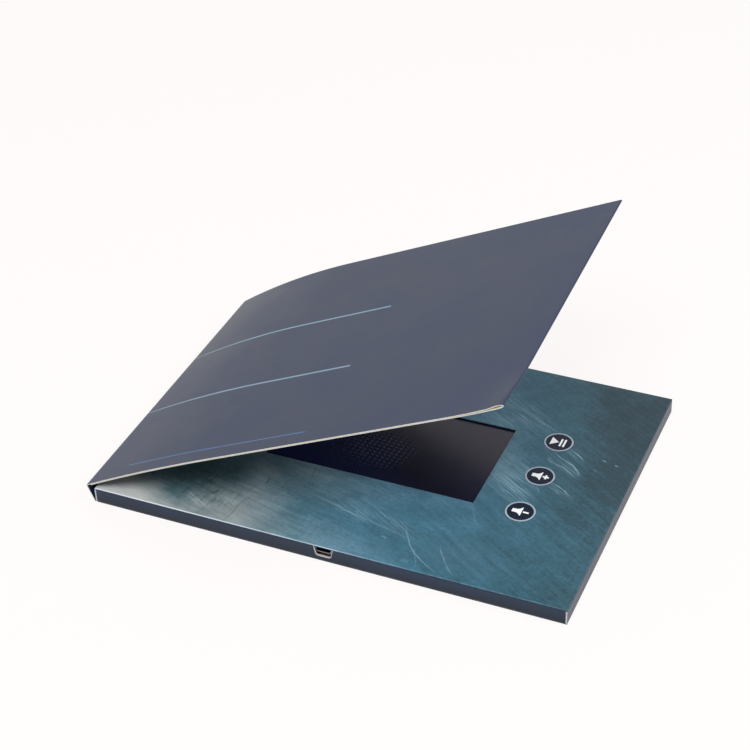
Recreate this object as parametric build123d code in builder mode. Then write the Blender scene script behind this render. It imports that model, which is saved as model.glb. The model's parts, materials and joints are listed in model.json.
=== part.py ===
from build123d import *
import math
import os

# Video brochure, A5 landscape: a flat card tray with a 4.3 inch display, three press
# buttons and a Mini-USB port, and one creased outer sheet that makes the front cover,
# the spine and the back cover.
#
# Millimetres. Origin: centre of the back cover's underside. +X runs from the spine to
# the open side, +Y from the near side (the one with the port) to the far side, +Z up.
# The cover stands partly open, as it rests on its two creases.

os.makedirs("parts", exist_ok=True)

# ------------------------------------------------------------------ driving dimensions

# Tray
tray_length = 210.0  # along X, A5 long side
tray_depth = 148.0  # along Y, A5 short side
tray_height = 7.3  # underside of the back cover to the top of the face sheet
face_card = 0.5  # printed top card
wall_card = 0.8  # folded side walls
wrap_card = 0.4  # outer sheet: front cover, spine and back cover

# Creases and cover
crease_gap = 0.2  # between a leaf's rounded edge and the leaf beside it
spine_wall_gap = 0.2  # between the upright spine and the tray's wall
spine_height = 8.4  # lower crease to upper crease
spine_lean = 22.0  # degrees outwards at rest
cover_length = 207.5  # upper crease to free edge, along the sheet
cover_overhang = 3.0  # cover and spine run this far past the tray's far wall
liner_card = 0.4  # the cover's inner leaf, turned round its free edge and glued
liner_setback = 2.0  # from the upper crease to the liner's edge
bow_length = 67.0  # the sheet bends over this much beside the crease
near_crease_lift = 29.1  # degrees above level at the crease, near edge
far_crease_lift = 36.7  # the same at the far edge
free_lift = 25.0  # degrees above level over the straight stretch

# Magnet that tells the board whether the cover is closed
magnet_length = 10.0
magnet_width = 5.0
magnet_thickness = 0.3
magnet_clearance = 0.1

# Display module
lcd_length = 105.5
lcd_depth = 67.2
lcd_shift_y = 1.0  # display and buttons sit this far beyond the tray's centre
window_side_margin = 4.75  # display's edge to the window's, at each side
window_end_margin = 6.9  # the same at the near and far edges
gasket_thickness = 0.4
gasket_setback = 0.4  # its inner edge stands back from the window
cell_thickness = 1.2
backlight_thickness = 1.4
lcd_sheet_metal = 0.3
lcd_clearance = 0.1
lcd_pad_width = 10.0
lcd_pad_length = 52.0
lcd_pad_spacing = 42.0  # between the centres of the two pads

# Press buttons: round zones of the face sheet above small switches
button_radius = 6.5
button_clearance = 0.05  # radial
button_pitch = 25.0
button_edge_distance = 36.9  # from the open edge to the row
button_travel = 0.3
switch_size = 6.0
switch_height = 3.1
plunger_radius = 1.75
plunger_clearance = 0.05  # radial
plunger_engagement = 0.9  # length of plunger inside its switch
switch_margin = 0.3  # free depth left under a pressed plunger

# Circuit boards
board_thickness = 1.0
pad_height = 1.5  # foam pads that carry both boards
main_board_length = 76.0
main_board_depth = 35.0
board_wall_gap = 1.2  # from the near wall's inner face to the board
board_pad_size = 8.0
button_board_width = 14.0
button_board_margin = 8.0  # beyond the outer buttons' centres
component_edge_margin = 3.0

# Mini-USB port
usb_width = 7.7
usb_taper_width = 6.3  # of its narrow side, which faces down
usb_height = 3.9
usb_straight = 1.9  # height of the upright flanks
usb_length = 9.0
usb_metal = 0.3
usb_recess = 1.7  # from the tray's near face to the mouth
tongue_width = 4.6
tongue_thickness = 0.9
tongue_base = 2.0
tongue_setback = 1.0
contact_count = 5
contact_pitch = 0.8
contact_width = 0.4
contact_thickness = 0.15
port_top_width = 8.2
port_sill_width = 6.3
port_sill_height = 2.45
port_x = 0.6  # middle of the port
port_offset = 0.7  # the hole is punched this far to the open side of the port

# Battery
battery_length = 50.0
battery_width = 34.0
battery_thickness = 4.0
battery_edge_radius = 1.2
battery_shift_y = 10.0
battery_circuit_width = 28.0
battery_circuit_depth = 3.5
battery_circuit_thickness = 3.0

# Speaker
speaker_radius = 14.0
speaker_frame_height = 3.2
speaker_rim = 1.2
speaker_ledge = 1.0
speaker_floor = 0.8
speaker_magnet_radius = 6.5
speaker_magnet_height = 1.4
speaker_board_gap = 2.7  # from the button board to the speaker
speaker_shift_x = 8.0  # from the button row towards the open side
speaker_terminal_length = 5.0
speaker_terminal_width = 8.0
cone_thickness = 0.3
cone_centre_radius = 3.0
cone_depth = 0.9
cone_clearance = 0.1

# Grey-board strips that carry the face sheet
spacer_width = 6.0
far_spacer_width = 7.0
board_spacer_gap = 2.0  # from the main board to the strips beside it

# Wires and flat cables
lead_diameter = 1.0
lead_spacing = 4.0
lead_pad_clearance = 0.5  # between the speaker leads and the pad beside them
speaker_lead_slant = 11.0  # the leads' first run ends this far out from their last run
speaker_lead_middle = (5.0, 18.0)  # out from the last run, and y
speaker_lead_turn_y = -10.0
ribbon_thickness = 0.3
button_ribbon_width = 4.0
lcd_ribbon_width = 20.0
lcd_ribbon_lap = 16.0  # length that lies on the back of the display

# ------------------------------------------------------------------ planes and levels

window_length = lcd_length - 2 * window_side_margin
window_depth = lcd_depth - 2 * window_end_margin

x_spine, x_open = -tray_length / 2, tray_length / 2
y_near, y_far = -tray_depth / 2, tray_depth / 2
y_cover_far = y_far + cover_overhang

floor_z = wrap_card
ceiling_z = tray_height - face_card
inner_spine, inner_open = x_spine + wall_card, x_open - wall_card
inner_near, inner_far = y_near + wall_card, y_far - wall_card

crease_radius = wrap_card / 2
lower_crease = (x_spine - spine_wall_gap - crease_radius, crease_radius)
upper_crease = (
    lower_crease[0] - spine_height * math.sin(math.radians(spine_lean)),
    lower_crease[1] + spine_height * math.cos(math.radians(spine_lean)),
)

board_bottom = floor_z + pad_height
board_top = board_bottom + board_thickness
wire_z = board_bottom + board_thickness / 2

row_x = x_open - button_edge_distance
button_rows = {
    "play": lcd_shift_y + button_pitch,
    "volume_up": lcd_shift_y,
    "volume_down": lcd_shift_y - button_pitch,
}


def block(xs, ys, zs):
    """A plain block between two limits on each axis."""
    with BuildPart() as piece:
        with BuildSketch(Plane.XY.offset(zs[0])):
            with Locations(((xs[0] + xs[1]) / 2, (ys[0] + ys[1]) / 2)):
                Rectangle(xs[1] - xs[0], ys[1] - ys[0])
        extrude(amount=zs[1] - zs[0])
    return piece


def around(centre, size):
    """The two limits of a size about its centre."""
    return (centre - size / 2, centre + size / 2)


def save(piece, name):
    """Label a finished piece and write it."""
    piece.part.label = name
    export_step(piece.part, f"parts/{name}.step")


# ------------------------------------------------------------------ outer sheet

# Back cover: the flat leaf under the tray.
back_cover = block((x_spine, x_open), (y_near, y_far), (0, floor_z))
save(back_cover, "back_cover")

# Spine: a narrow leaf whose rounded edges turn on the two creases.
spine_middle = tuple((a + b) / 2 for a, b in zip(lower_crease, upper_crease))
with BuildPart() as spine_panel:
    with BuildSketch(Plane.XZ.offset(-y_near)):
        with Locations(Location((*spine_middle, 0), (0, 0, 90 + spine_lean))):
            SlotCenterToCenter(spine_height, wrap_card)
    extrude(amount=y_near - y_cover_far)
save(spine_panel, "spine_panel")


def on_cover(lift, along, height):
    """Point of the cover's edge line that leaves the crease at this lift, as (x, z).

    The line is an arc over the bowed stretch and straight after it. The point is this
    far along it, and stands this high off it on the outer side.
    """
    turned = math.radians(lift - free_lift)
    radius = bow_length / turned
    arc = min(along, bow_length)
    angle = math.radians(lift) - arc / radius
    centre_x = upper_crease[0] + radius * math.sin(math.radians(lift))
    centre_z = upper_crease[1] - radius * math.cos(math.radians(lift))
    straight = along - arc
    return (
        centre_x - (radius + height) * math.sin(angle) + straight * math.cos(angle),
        centre_z + (radius + height) * math.cos(angle) + straight * math.sin(angle),
    )


def cover_layer(start, low, high, turned_low):
    """One leaf of the cover, lofted from its near edge to its far edge.

    At the free edge it is rounded down to turned_low, or cut square where that is low.
    """
    middle = (start + bow_length) / 2
    end = cover_length - turn_radius
    with BuildPart() as piece:
        for y, lift in ((y_near, near_crease_lift), (y_cover_far, far_crease_lift)):
            with BuildSketch(Plane.XZ.offset(-y)):
                with BuildLine():
                    ThreePointArc(*(on_cover(lift, s, high) for s in (start, middle, bow_length)))
                    Line(on_cover(lift, bow_length, high), on_cover(lift, end, high))
                    if turned_low < low:
                        nose = on_cover(lift, cover_length, high - turn_radius)
                        turned = on_cover(lift, end, turned_low)
                        ThreePointArc(on_cover(lift, end, high), nose, turned)
                        Line(turned, on_cover(lift, end, low))
                    else:
                        Line(on_cover(lift, end, high), on_cover(lift, end, low))
                    Line(on_cover(lift, end, low), on_cover(lift, bow_length, low))
                    ThreePointArc(*(on_cover(lift, s, low) for s in (bow_length, middle, start)))
                    Line(on_cover(lift, start, low), on_cover(lift, start, high))
                make_face()
        loft(ruled=True)
    return piece


# The cover is one sheet folded back on itself: the outer leaf ends in the round fold and
# the inner leaf meets it there.
liner_low = -crease_radius - liner_card
turn_radius = (crease_radius - liner_low) / 2

front_cover_card = cover_layer(
    crease_radius + crease_gap, -crease_radius, crease_radius, liner_low
)
save(front_cover_card, "front_cover_card")

# The magnet lies in a pocket on the hidden side of the liner, above the main board's
# sensor when the cover is closed.
main_board_near = inner_near + board_wall_gap
main_board_far = main_board_near + main_board_depth
sensor_x = main_board_length / 2 - 2 * component_edge_margin
sensor_y = main_board_near + main_board_depth / 2

magnet_along = sensor_x - lower_crease[0]
magnet_share = (sensor_y - y_near) / (y_cover_far - y_near)
near_point = on_cover(near_crease_lift, magnet_along, -crease_radius)
far_point = on_cover(far_crease_lift, magnet_along, -crease_radius)
near_corner = Vector(near_point[0], y_near, near_point[1])
far_corner = Vector(far_point[0], y_cover_far, far_point[1])
cover_slope = Vector(math.cos(math.radians(free_lift)), 0, math.sin(math.radians(free_lift)))
magnet_plane = Plane(
    origin=near_corner + (far_corner - near_corner) * magnet_share,
    x_dir=cover_slope,
    z_dir=cover_slope.cross(far_corner - near_corner),
)

with BuildPart() as front_cover_liner:
    add(cover_layer(liner_setback, liner_low, -crease_radius, liner_low).part)
    with BuildSketch(magnet_plane):
        Rectangle(magnet_length + 2 * magnet_clearance, magnet_width + 2 * magnet_clearance)
    extrude(amount=-magnet_thickness, mode=Mode.SUBTRACT)
save(front_cover_liner, "front_cover_liner")

with BuildPart() as cover_magnet:
    with BuildSketch(magnet_plane):
        Rectangle(magnet_length, magnet_width)
    extrude(amount=-magnet_thickness)
save(cover_magnet, "cover_magnet")

# ------------------------------------------------------------------ tray card

walls = {
    "spine_side_wall": ((x_spine, inner_spine), (y_near, y_far)),
    "open_side_wall": ((inner_open, x_open), (y_near, y_far)),
    "far_wall": ((inner_spine, inner_open), (inner_far, y_far)),
}
for name, (xs, ys) in walls.items():
    save(block(xs, ys, (floor_z, ceiling_z)), name)

# Near wall, with the hole punched for the port. The hole runs up to the face sheet.
hole_x = port_x + port_offset
with BuildPart() as near_wall:
    add(block((inner_spine, inner_open), (y_near, inner_near), (floor_z, ceiling_z)).part)
    with BuildSketch(Plane.XZ.offset(-y_near)):
        with BuildLine():
            Polyline(
                (hole_x - port_top_width / 2, ceiling_z),
                (hole_x - port_sill_width / 2, port_sill_height),
                (hole_x + port_sill_width / 2, port_sill_height),
                (hole_x + port_top_width / 2, ceiling_z),
                close=True,
            )
        make_face()
    extrude(amount=-wall_card, mode=Mode.SUBTRACT)
save(near_wall, "near_wall")

# Face sheet, with the display window and a die-cut circle for each button.
with BuildPart() as face_sheet:
    add(block((x_spine, x_open), (y_near, y_far), (ceiling_z, tray_height)).part)
    with BuildSketch(Plane.XY.offset(ceiling_z)):
        with Locations((0, lcd_shift_y)):
            Rectangle(window_length, window_depth)
        with Locations(*((row_x, y) for y in button_rows.values())):
            Circle(button_radius + button_clearance)
    extrude(amount=face_card, mode=Mode.SUBTRACT)
save(face_sheet, "face_sheet")

# Grey-board strips inside the walls.
strip_spine = inner_spine + spacer_width
strip_open = inner_open - spacer_width
strip_near = inner_near + spacer_width
strip_far = inner_far - far_spacer_width
board_end = main_board_length / 2 + board_spacer_gap
strips = {
    "spacer_spine_side": ((inner_spine, strip_spine), (inner_near, inner_far)),
    "spacer_open_side": ((strip_open, inner_open), (inner_near, inner_far)),
    "spacer_far": ((strip_spine, strip_open), (strip_far, inner_far)),
    "spacer_near_left": ((strip_spine, -board_end), (inner_near, strip_near)),
    "spacer_near_right": ((board_end, strip_open), (inner_near, strip_near)),
}
for name, (xs, ys) in strips.items():
    save(block(xs, ys, (floor_z, ceiling_z)), name)

# ------------------------------------------------------------------ display

cell_top = ceiling_z - gasket_thickness
cell_bottom = cell_top - cell_thickness
frame_floor = cell_bottom - backlight_thickness
frame_bottom = frame_floor - lcd_sheet_metal
lcd_near = lcd_shift_y - lcd_depth / 2
lcd_inner_length = lcd_length - 2 * lcd_sheet_metal
lcd_inner_depth = lcd_depth - 2 * lcd_sheet_metal

with BuildPart() as lcd_gasket:
    with BuildSketch(Plane.XY.offset(cell_top)):
        with Locations((0, lcd_shift_y)):
            Rectangle(lcd_length, lcd_depth)
            Rectangle(
                window_length + 2 * gasket_setback,
                window_depth + 2 * gasket_setback,
                mode=Mode.SUBTRACT,
            )
    extrude(amount=gasket_thickness)
save(lcd_gasket, "lcd_gasket")

lcd_layers = {
    "lcd_cell": (cell_bottom, cell_top),
    "lcd_backlight": (frame_floor, cell_bottom),
}
for name, levels in lcd_layers.items():
    layer_length = lcd_inner_length - 2 * lcd_clearance
    layer_depth = lcd_inner_depth - 2 * lcd_clearance
    save(block(around(0, layer_length), around(lcd_shift_y, layer_depth), levels), name)

# Pressed metal frame behind the display, open at the top.
with BuildPart() as lcd_frame:
    with BuildSketch(Plane.XY.offset(frame_bottom)):
        with Locations((0, lcd_shift_y)):
            Rectangle(lcd_length, lcd_depth)
    extrude(amount=cell_top - frame_bottom)
    with BuildSketch(Plane.XY.offset(frame_floor)):
        with Locations((0, lcd_shift_y)):
            Rectangle(lcd_inner_length, lcd_inner_depth)
    extrude(amount=cell_top - frame_floor, mode=Mode.SUBTRACT)
save(lcd_frame, "lcd_frame")

with BuildPart() as lcd_pads:
    with BuildSketch(Plane.XY.offset(floor_z)):
        with Locations((0, lcd_shift_y)):
            with GridLocations(lcd_pad_spacing, 0, 2, 1):
                Rectangle(lcd_pad_width, lcd_pad_length)
    extrude(amount=frame_bottom - floor_z)
save(lcd_pads, "lcd_pads")

# ------------------------------------------------------------------ main board

board_xs = around(0, main_board_length)
main_board = block(board_xs, (main_board_near, main_board_far), (board_bottom, board_top))
save(main_board, "main_board")

with BuildPart() as board_pads:
    with BuildSketch(Plane.XY.offset(floor_z)):
        with Locations((0, (main_board_near + main_board_far) / 2)):
            with GridLocations(
                main_board_length - board_pad_size, main_board_depth - board_pad_size, 2, 2
            ):
                Rectangle(board_pad_size, board_pad_size)
    extrude(amount=pad_height)
save(board_pads, "board_pads")

# Packages soldered to the board: centre x, centre y from the board's near edge, size.
inductor_inset = 8.0  # from the board's spine end
connector_depth = 4.0
connector_y = main_board_far - component_edge_margin - connector_depth / 2
packages = {
    "video_processor": (-22.0, 17.0, (12.0, 12.0, 1.2)),
    "memory_chip": (17.0, 15.0, (14.0, 8.0, 1.0)),
    "crystal": (-8.5, 20.0, (3.2, 5.0, 0.9)),
    "power_inductor": (inductor_inset - main_board_length / 2, 6.0, (5.0, 5.0, 2.4)),
    "hall_sensor": (sensor_x, sensor_y - main_board_near, (3.0, 1.6, 1.1)),
    "lcd_connector": (0.0, connector_y - main_board_near, (24.0, connector_depth, 1.5)),
}
for name, (x, y, (length, depth, height)) in packages.items():
    chip = block(
        around(x, length), around(main_board_near + y, depth), (board_top, board_top + height)
    )
    save(chip, name)

capacitor_size = (2.0, 1.2, 1.0)
capacitor_pitch = (4.0, 3.5)  # along X and Y
capacitor_group = (-12.0, 5.0)  # centre x, centre y from the board's near edge
with BuildPart() as capacitors:
    with BuildSketch(Plane.XY.offset(board_top)):
        with Locations((capacitor_group[0], main_board_near + capacitor_group[1])):
            with GridLocations(*capacitor_pitch, 3, 2):
                Rectangle(capacitor_size[0], capacitor_size[1])
    extrude(amount=capacitor_size[2])
save(capacitors, "capacitors")

# Flat cable: it lies on the back of the display and enters the connector.
connector_far = connector_y + connector_depth / 2
lcd_ribbon = block(
    around(0, lcd_ribbon_width),
    (connector_far, lcd_near + lcd_ribbon_lap),
    (frame_bottom - ribbon_thickness, frame_bottom),
)
save(lcd_ribbon, "lcd_ribbon")

# ------------------------------------------------------------------ Mini-USB port

usb_mouth = y_near + usb_recess
usb_back = usb_mouth + usb_length


def usb_outline(inset):
    """Outline of the port on a plane that faces the near side: wide above, narrow below."""
    half = usb_width / 2 - inset
    taper = usb_taper_width / 2 - inset
    bottom, top = board_top + inset, board_top + usb_height - inset
    shoulder = board_top + usb_height - usb_straight
    with BuildLine() as outline:
        Polyline(
            (port_x - half, top),
            (port_x - half, shoulder),
            (port_x - taper, bottom),
            (port_x + taper, bottom),
            (port_x + half, shoulder),
            (port_x + half, top),
            close=True,
        )
    return outline.line


with BuildPart() as usb_shell:
    with BuildSketch(Plane.XZ.offset(-usb_mouth)):
        make_face(usb_outline(0))
    extrude(amount=-usb_length)
    with BuildSketch(Plane.XZ.offset(-usb_mouth)):
        make_face(usb_outline(usb_metal))
    extrude(amount=-(usb_length - usb_metal), mode=Mode.SUBTRACT)
save(usb_shell, "usb_shell")

# Insulator: a block that fills the back of the shell, with a tongue towards the mouth.
tongue_z = board_top + usb_height - usb_straight / 2
base_near = usb_back - usb_metal - tongue_base
tongue_near = usb_mouth + tongue_setback
with BuildPart() as usb_tongue:
    with BuildSketch(Plane.XZ.offset(-base_near)):
        make_face(usb_outline(usb_metal))
    extrude(amount=-tongue_base)
    with BuildSketch(Plane.XZ.offset(-tongue_near)):
        with Locations((port_x, tongue_z)):
            Rectangle(tongue_width, tongue_thickness)
    extrude(amount=-(base_near - tongue_near))
save(usb_tongue, "usb_tongue")

contact_top = tongue_z - tongue_thickness / 2
with BuildPart() as usb_contacts:
    with BuildSketch(Plane.XY.offset(contact_top - contact_thickness)):
        with Locations((port_x, (tongue_near + base_near) / 2)):
            with GridLocations(contact_pitch, 0, contact_count, 1):
                Rectangle(contact_width, base_near - tongue_near)
    extrude(amount=contact_thickness)
save(usb_contacts, "usb_contacts")

# ------------------------------------------------------------------ battery

battery_x = (strip_spine - lcd_length / 2) / 2
battery_y = lcd_shift_y + battery_shift_y
battery_near = battery_y - battery_length / 2
with BuildPart() as battery_pouch:
    with BuildSketch(Plane.XY.offset(floor_z)):
        with Locations((battery_x, battery_y)):
            Rectangle(battery_width, battery_length)
    extrude(amount=battery_thickness)
    fillet(battery_pouch.edges().filter_by(Axis.Y), radius=battery_edge_radius)
save(battery_pouch, "battery_pouch")

circuit_near = battery_near - battery_circuit_depth
battery_circuit = block(
    around(battery_x, battery_circuit_width),
    (circuit_near, battery_near),
    (floor_z, floor_z + battery_circuit_thickness),
)
save(battery_circuit, "battery_circuit")

# ------------------------------------------------------------------ speaker

speaker_x = row_x + speaker_shift_x
button_board_far = lcd_shift_y + button_pitch + button_board_margin
button_board_near = lcd_shift_y - button_pitch - button_board_margin
speaker_y = button_board_far + speaker_board_gap + speaker_radius
speaker_bottom = floor_z + speaker_magnet_height
speaker_top = speaker_bottom + speaker_frame_height
ledge_z = speaker_top - speaker_ledge

with BuildPart() as speaker_magnet:
    with BuildSketch(Plane.XY.offset(floor_z)):
        with Locations((speaker_x, speaker_y)):
            Circle(speaker_magnet_radius)
    extrude(amount=speaker_magnet_height)
save(speaker_magnet, "speaker_magnet")

# Frame: a round pan with a ledge for the cone, and a terminal block on its side.
terminal_face = speaker_x - speaker_radius - speaker_terminal_length / 2
with BuildPart() as speaker_frame:
    with BuildSketch(Plane.XY.offset(speaker_bottom)):
        with Locations((speaker_x, speaker_y)):
            Circle(speaker_radius)
        with Locations((terminal_face + speaker_terminal_length, speaker_y)):
            Rectangle(2 * speaker_terminal_length, speaker_terminal_width)
    extrude(amount=speaker_frame_height)
    with BuildSketch(Plane.XY.offset(ledge_z)):
        with Locations((speaker_x, speaker_y)):
            Circle(speaker_radius - speaker_rim)
    extrude(amount=speaker_ledge, mode=Mode.SUBTRACT)
    with BuildSketch(Plane.XY.offset(speaker_bottom + speaker_floor)):
        with Locations((speaker_x, speaker_y)):
            Circle(speaker_radius - speaker_rim - speaker_ledge)
    extrude(amount=speaker_frame_height - speaker_floor - speaker_ledge, mode=Mode.SUBTRACT)
save(speaker_frame, "speaker_frame")

# Cone: a thin dished disc whose flat rim lies on the ledge.
cone_radius = speaker_radius - speaker_rim - cone_clearance
cone_bend = speaker_radius - speaker_rim - speaker_ledge - cone_clearance
with BuildPart() as speaker_cone:
    with BuildSketch(Plane.XZ.offset(-speaker_y)):
        with BuildLine():
            Polyline(
                (speaker_x, ledge_z - cone_depth),
                (speaker_x + cone_centre_radius, ledge_z - cone_depth),
                (speaker_x + cone_bend, ledge_z),
                (speaker_x + cone_radius, ledge_z),
                (speaker_x + cone_radius, ledge_z + cone_thickness),
                (speaker_x + cone_bend, ledge_z + cone_thickness),
                (speaker_x + cone_centre_radius, ledge_z - cone_depth + cone_thickness),
                (speaker_x, ledge_z - cone_depth + cone_thickness),
                close=True,
            )
        make_face()
    revolve(axis=Axis((speaker_x, speaker_y, 0), (0, 0, 1)))
save(speaker_cone, "speaker_cone")

# ------------------------------------------------------------------ buttons

board_row = (button_board_near, button_board_far)
button_board = block(around(row_x, button_board_width), board_row, (board_bottom, board_top))
save(button_board, "button_board")

button_board_pad = block(around(row_x, button_board_width), board_row, (floor_z, board_bottom))
save(button_board_pad, "button_board_pad")

switch_top = board_top + switch_height
plunger_bottom = switch_top - plunger_engagement
socket_bottom = plunger_bottom - button_travel - switch_margin
for name, y in button_rows.items():
    # The press zone, flush with the face sheet around it.
    with BuildPart() as button:
        with BuildSketch(Plane.XY.offset(ceiling_z)):
            with Locations((row_x, y)):
                Circle(button_radius)
        extrude(amount=face_card)
    save(button, f"{name}_button")

    with BuildPart() as plunger:
        with BuildSketch(Plane.XY.offset(plunger_bottom)):
            with Locations((row_x, y)):
                Circle(plunger_radius)
        extrude(amount=ceiling_z - plunger_bottom)
    save(plunger, f"{name}_plunger")

    with BuildPart() as switch:
        with BuildSketch(Plane.XY.offset(board_top)):
            with Locations((row_x, y)):
                Rectangle(switch_size, switch_size)
        extrude(amount=switch_height)
        with BuildSketch(Plane.XY.offset(socket_bottom)):
            with Locations((row_x, y)):
                Circle(plunger_radius + plunger_clearance)
        extrude(amount=switch_top - socket_bottom, mode=Mode.SUBTRACT)
    save(switch, f"{name}_switch")

# ------------------------------------------------------------------ wires

board_side = main_board_length / 2
solder_y = main_board_near + main_board_depth / 2


def bend_radii(points):
    """The radius at each corner: 0.45 of the shorter run over the tangent of half the turn."""
    radii = []
    for before, corner, after in zip(points, points[1:], points[2:]):
        into, out = Vector(*corner) - Vector(*before), Vector(*after) - Vector(*corner)
        half_turn = math.radians(into.get_angle(out)) / 2
        radii.append(0.45 * min(into.length, out.length) / math.tan(half_turn))
    return radii


def wire(name, points):
    """A round wire on a level route of straight runs joined by tangent arcs."""
    radii = bend_radii(points)
    with BuildPart() as lead:
        with BuildLine() as route:
            FilletPolyline(*((x, y, wire_z) for x, y in points), radius=radii)
        start = route.line @ 0
        heading = route.line % 0
        with BuildSketch(Plane(origin=start, z_dir=heading)):
            Circle(lead_diameter / 2)
        sweep()
    section = math.pi * lead_diameter**2 / 4
    length = sum(edge.length for edge in route.edges())
    print(f"{name}: length {length:.1f}, radii {[round(r, 1) for r in radii]}, "
          f"volume {lead.part.volume:.2f} of {section * length:.2f}")
    save(lead, name)


# Battery leads: out of the protection circuit and round to the side of the board.
wire(
    "battery_lead_positive",
    [
        (battery_x - lead_spacing / 2, circuit_near),
        (battery_x - lead_spacing / 2, solder_y - lead_spacing / 2),
        (-board_side, solder_y - lead_spacing / 2),
    ],
)
wire(
    "battery_lead_negative",
    [
        (battery_x + lead_spacing / 2, circuit_near),
        (battery_x + lead_spacing / 2, solder_y + lead_spacing / 2),
        (-board_side, solder_y + lead_spacing / 2),
    ],
)

# Speaker leads: out of the terminal block, under the display, down beside its pad and to
# the board's far side.
pad_edge = (lcd_pad_spacing + lcd_pad_width) / 2
speaker_lead_last = pad_edge + lead_pad_clearance + lead_diameter / 2 + lead_spacing
for name, step in (("speaker_lead_positive", 1), ("speaker_lead_negative", 0)):
    shift = step * lead_spacing
    exit_y = speaker_y - lead_spacing / 2 + shift
    wire(
        name,
        [
            (terminal_face, exit_y),
            (speaker_lead_last + speaker_lead_slant - shift, exit_y),
            (
                speaker_lead_last + speaker_lead_middle[0] - shift,
                speaker_lead_middle[1] + shift / 2,
            ),
            (speaker_lead_last - shift, speaker_lead_turn_y),
            (speaker_lead_last - shift, main_board_far),
        ],
    )

# Button cable: a flat strip from the end of the button board to the side of the main board.
ribbon_level = wire_z - ribbon_thickness / 2
ribbon_bend = 10.0
with BuildPart() as button_ribbon:
    with BuildLine() as ribbon_route:
        FilletPolyline(
            (row_x, button_board_near, ribbon_level),
            (row_x, solder_y, ribbon_level),
            (board_side, solder_y, ribbon_level),
            radius=ribbon_bend,
        )
    with BuildSketch(Plane(ribbon_route.line @ 0, x_dir=(1, 0, 0), z_dir=(0, -1, 0))):
        with Locations((0, ribbon_thickness / 2)):
            Rectangle(button_ribbon_width, ribbon_thickness)
    sweep()
save(button_ribbon, "button_ribbon")
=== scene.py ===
# %% [markdown]
# # A video brochure made of card, film, foam and glass
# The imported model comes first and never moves: its boxes, its joints and its material
# slots tell this script where everything goes. What the eye sees of the brochure is
# printed card, so most pieces here are thin curved sheets whose raw edges show.
# Lengths below are in millimetres, and each mesh is scaled to metres as it is made.

# %% Load the frame
import bpy
import json
import math
import numpy as np
from mathutils import Matrix, Vector


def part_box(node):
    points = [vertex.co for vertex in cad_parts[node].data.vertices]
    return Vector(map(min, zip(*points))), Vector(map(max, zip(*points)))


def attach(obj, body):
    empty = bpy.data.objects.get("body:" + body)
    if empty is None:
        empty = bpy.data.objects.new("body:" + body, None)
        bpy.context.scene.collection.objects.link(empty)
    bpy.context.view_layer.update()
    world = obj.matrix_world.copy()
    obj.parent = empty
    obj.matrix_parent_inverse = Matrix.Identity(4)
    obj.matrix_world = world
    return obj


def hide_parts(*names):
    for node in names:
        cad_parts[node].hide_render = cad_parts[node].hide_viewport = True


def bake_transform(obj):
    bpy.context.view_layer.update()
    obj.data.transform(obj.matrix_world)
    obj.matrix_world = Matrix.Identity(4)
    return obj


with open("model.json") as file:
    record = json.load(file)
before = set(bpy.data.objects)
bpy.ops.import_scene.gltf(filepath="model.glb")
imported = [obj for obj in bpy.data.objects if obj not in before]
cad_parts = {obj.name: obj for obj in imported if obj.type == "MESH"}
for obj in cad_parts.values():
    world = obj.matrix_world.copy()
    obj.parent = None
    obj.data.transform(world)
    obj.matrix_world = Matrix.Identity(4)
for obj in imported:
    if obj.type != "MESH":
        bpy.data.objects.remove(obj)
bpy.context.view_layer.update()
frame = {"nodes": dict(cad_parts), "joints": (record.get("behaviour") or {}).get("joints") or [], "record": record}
MM = 0.001


def box(node):
    """Lowest and highest corner of a node of the model, in mm."""
    low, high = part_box(node)
    return np.array(low) / MM, np.array(high) / MM


(x_spine, y_near, _), (x_open, y_far, sheet) = box("back_cover")
(_, _, ceiling), (_, _, face_top) = box("face_sheet")
wall = box("near_wall")[1][1] - y_near
y_cover_far = box("front_cover_card")[1][1]
creases = {j["name"]: np.array(j["pos_m"]) / MM for j in frame["joints"] if j["type"] == "hinge"}
lower_crease = creases["spine_fold"][[0, 2]]
upper_crease = creases["cover_fold"][[0, 2]]
print(f"tray {x_open - x_spine:.1f} x {y_far - y_near:.1f} x {face_top:.2f} mm, sheet {sheet:.2f}")
print("creases (x, z):", lower_crease.round(2), upper_crease.round(2))

# %% [markdown]
# ## From numbers to a mesh
# Every new piece is a surface sampled on a grid. A grid of points becomes quads, and a
# card is two such grids, its print side and its back, joined by a rim of raw edge.
# The faces carry a material number each: 0 print side, 1 back, 2 raw edge.

# %% Grid, rim and mesh helpers
def quads(rows, cols, first=0):
    """Corners of the quads of a grid of points: point (i, j) has number i * cols + j.

    A face runs to the next row first, so its normal is (along rows) x (along columns).
    """
    a = first + np.arange(rows - 1)[:, None] * cols + np.arange(cols - 1)
    return np.stack([a, a + cols, a + cols + 1, a + 1], -1).reshape(-1, 4)


def rim(rows, cols):
    """Quads between the border of a grid and the border of a second grid numbered after it.

    The border is walked once round, and each step joins the two grids by one quad.
    """
    across, down = np.arange(cols), np.arange(rows)
    loop = np.concatenate([
        down * cols,
        (rows - 1) * cols + across[1:],
        down[-2::-1] * cols + cols - 1,
        across[-2:0:-1],
    ])
    step = np.roll(loop, -1)
    back = rows * cols
    return np.stack([loop, loop + back, step + back, step], -1)


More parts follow.
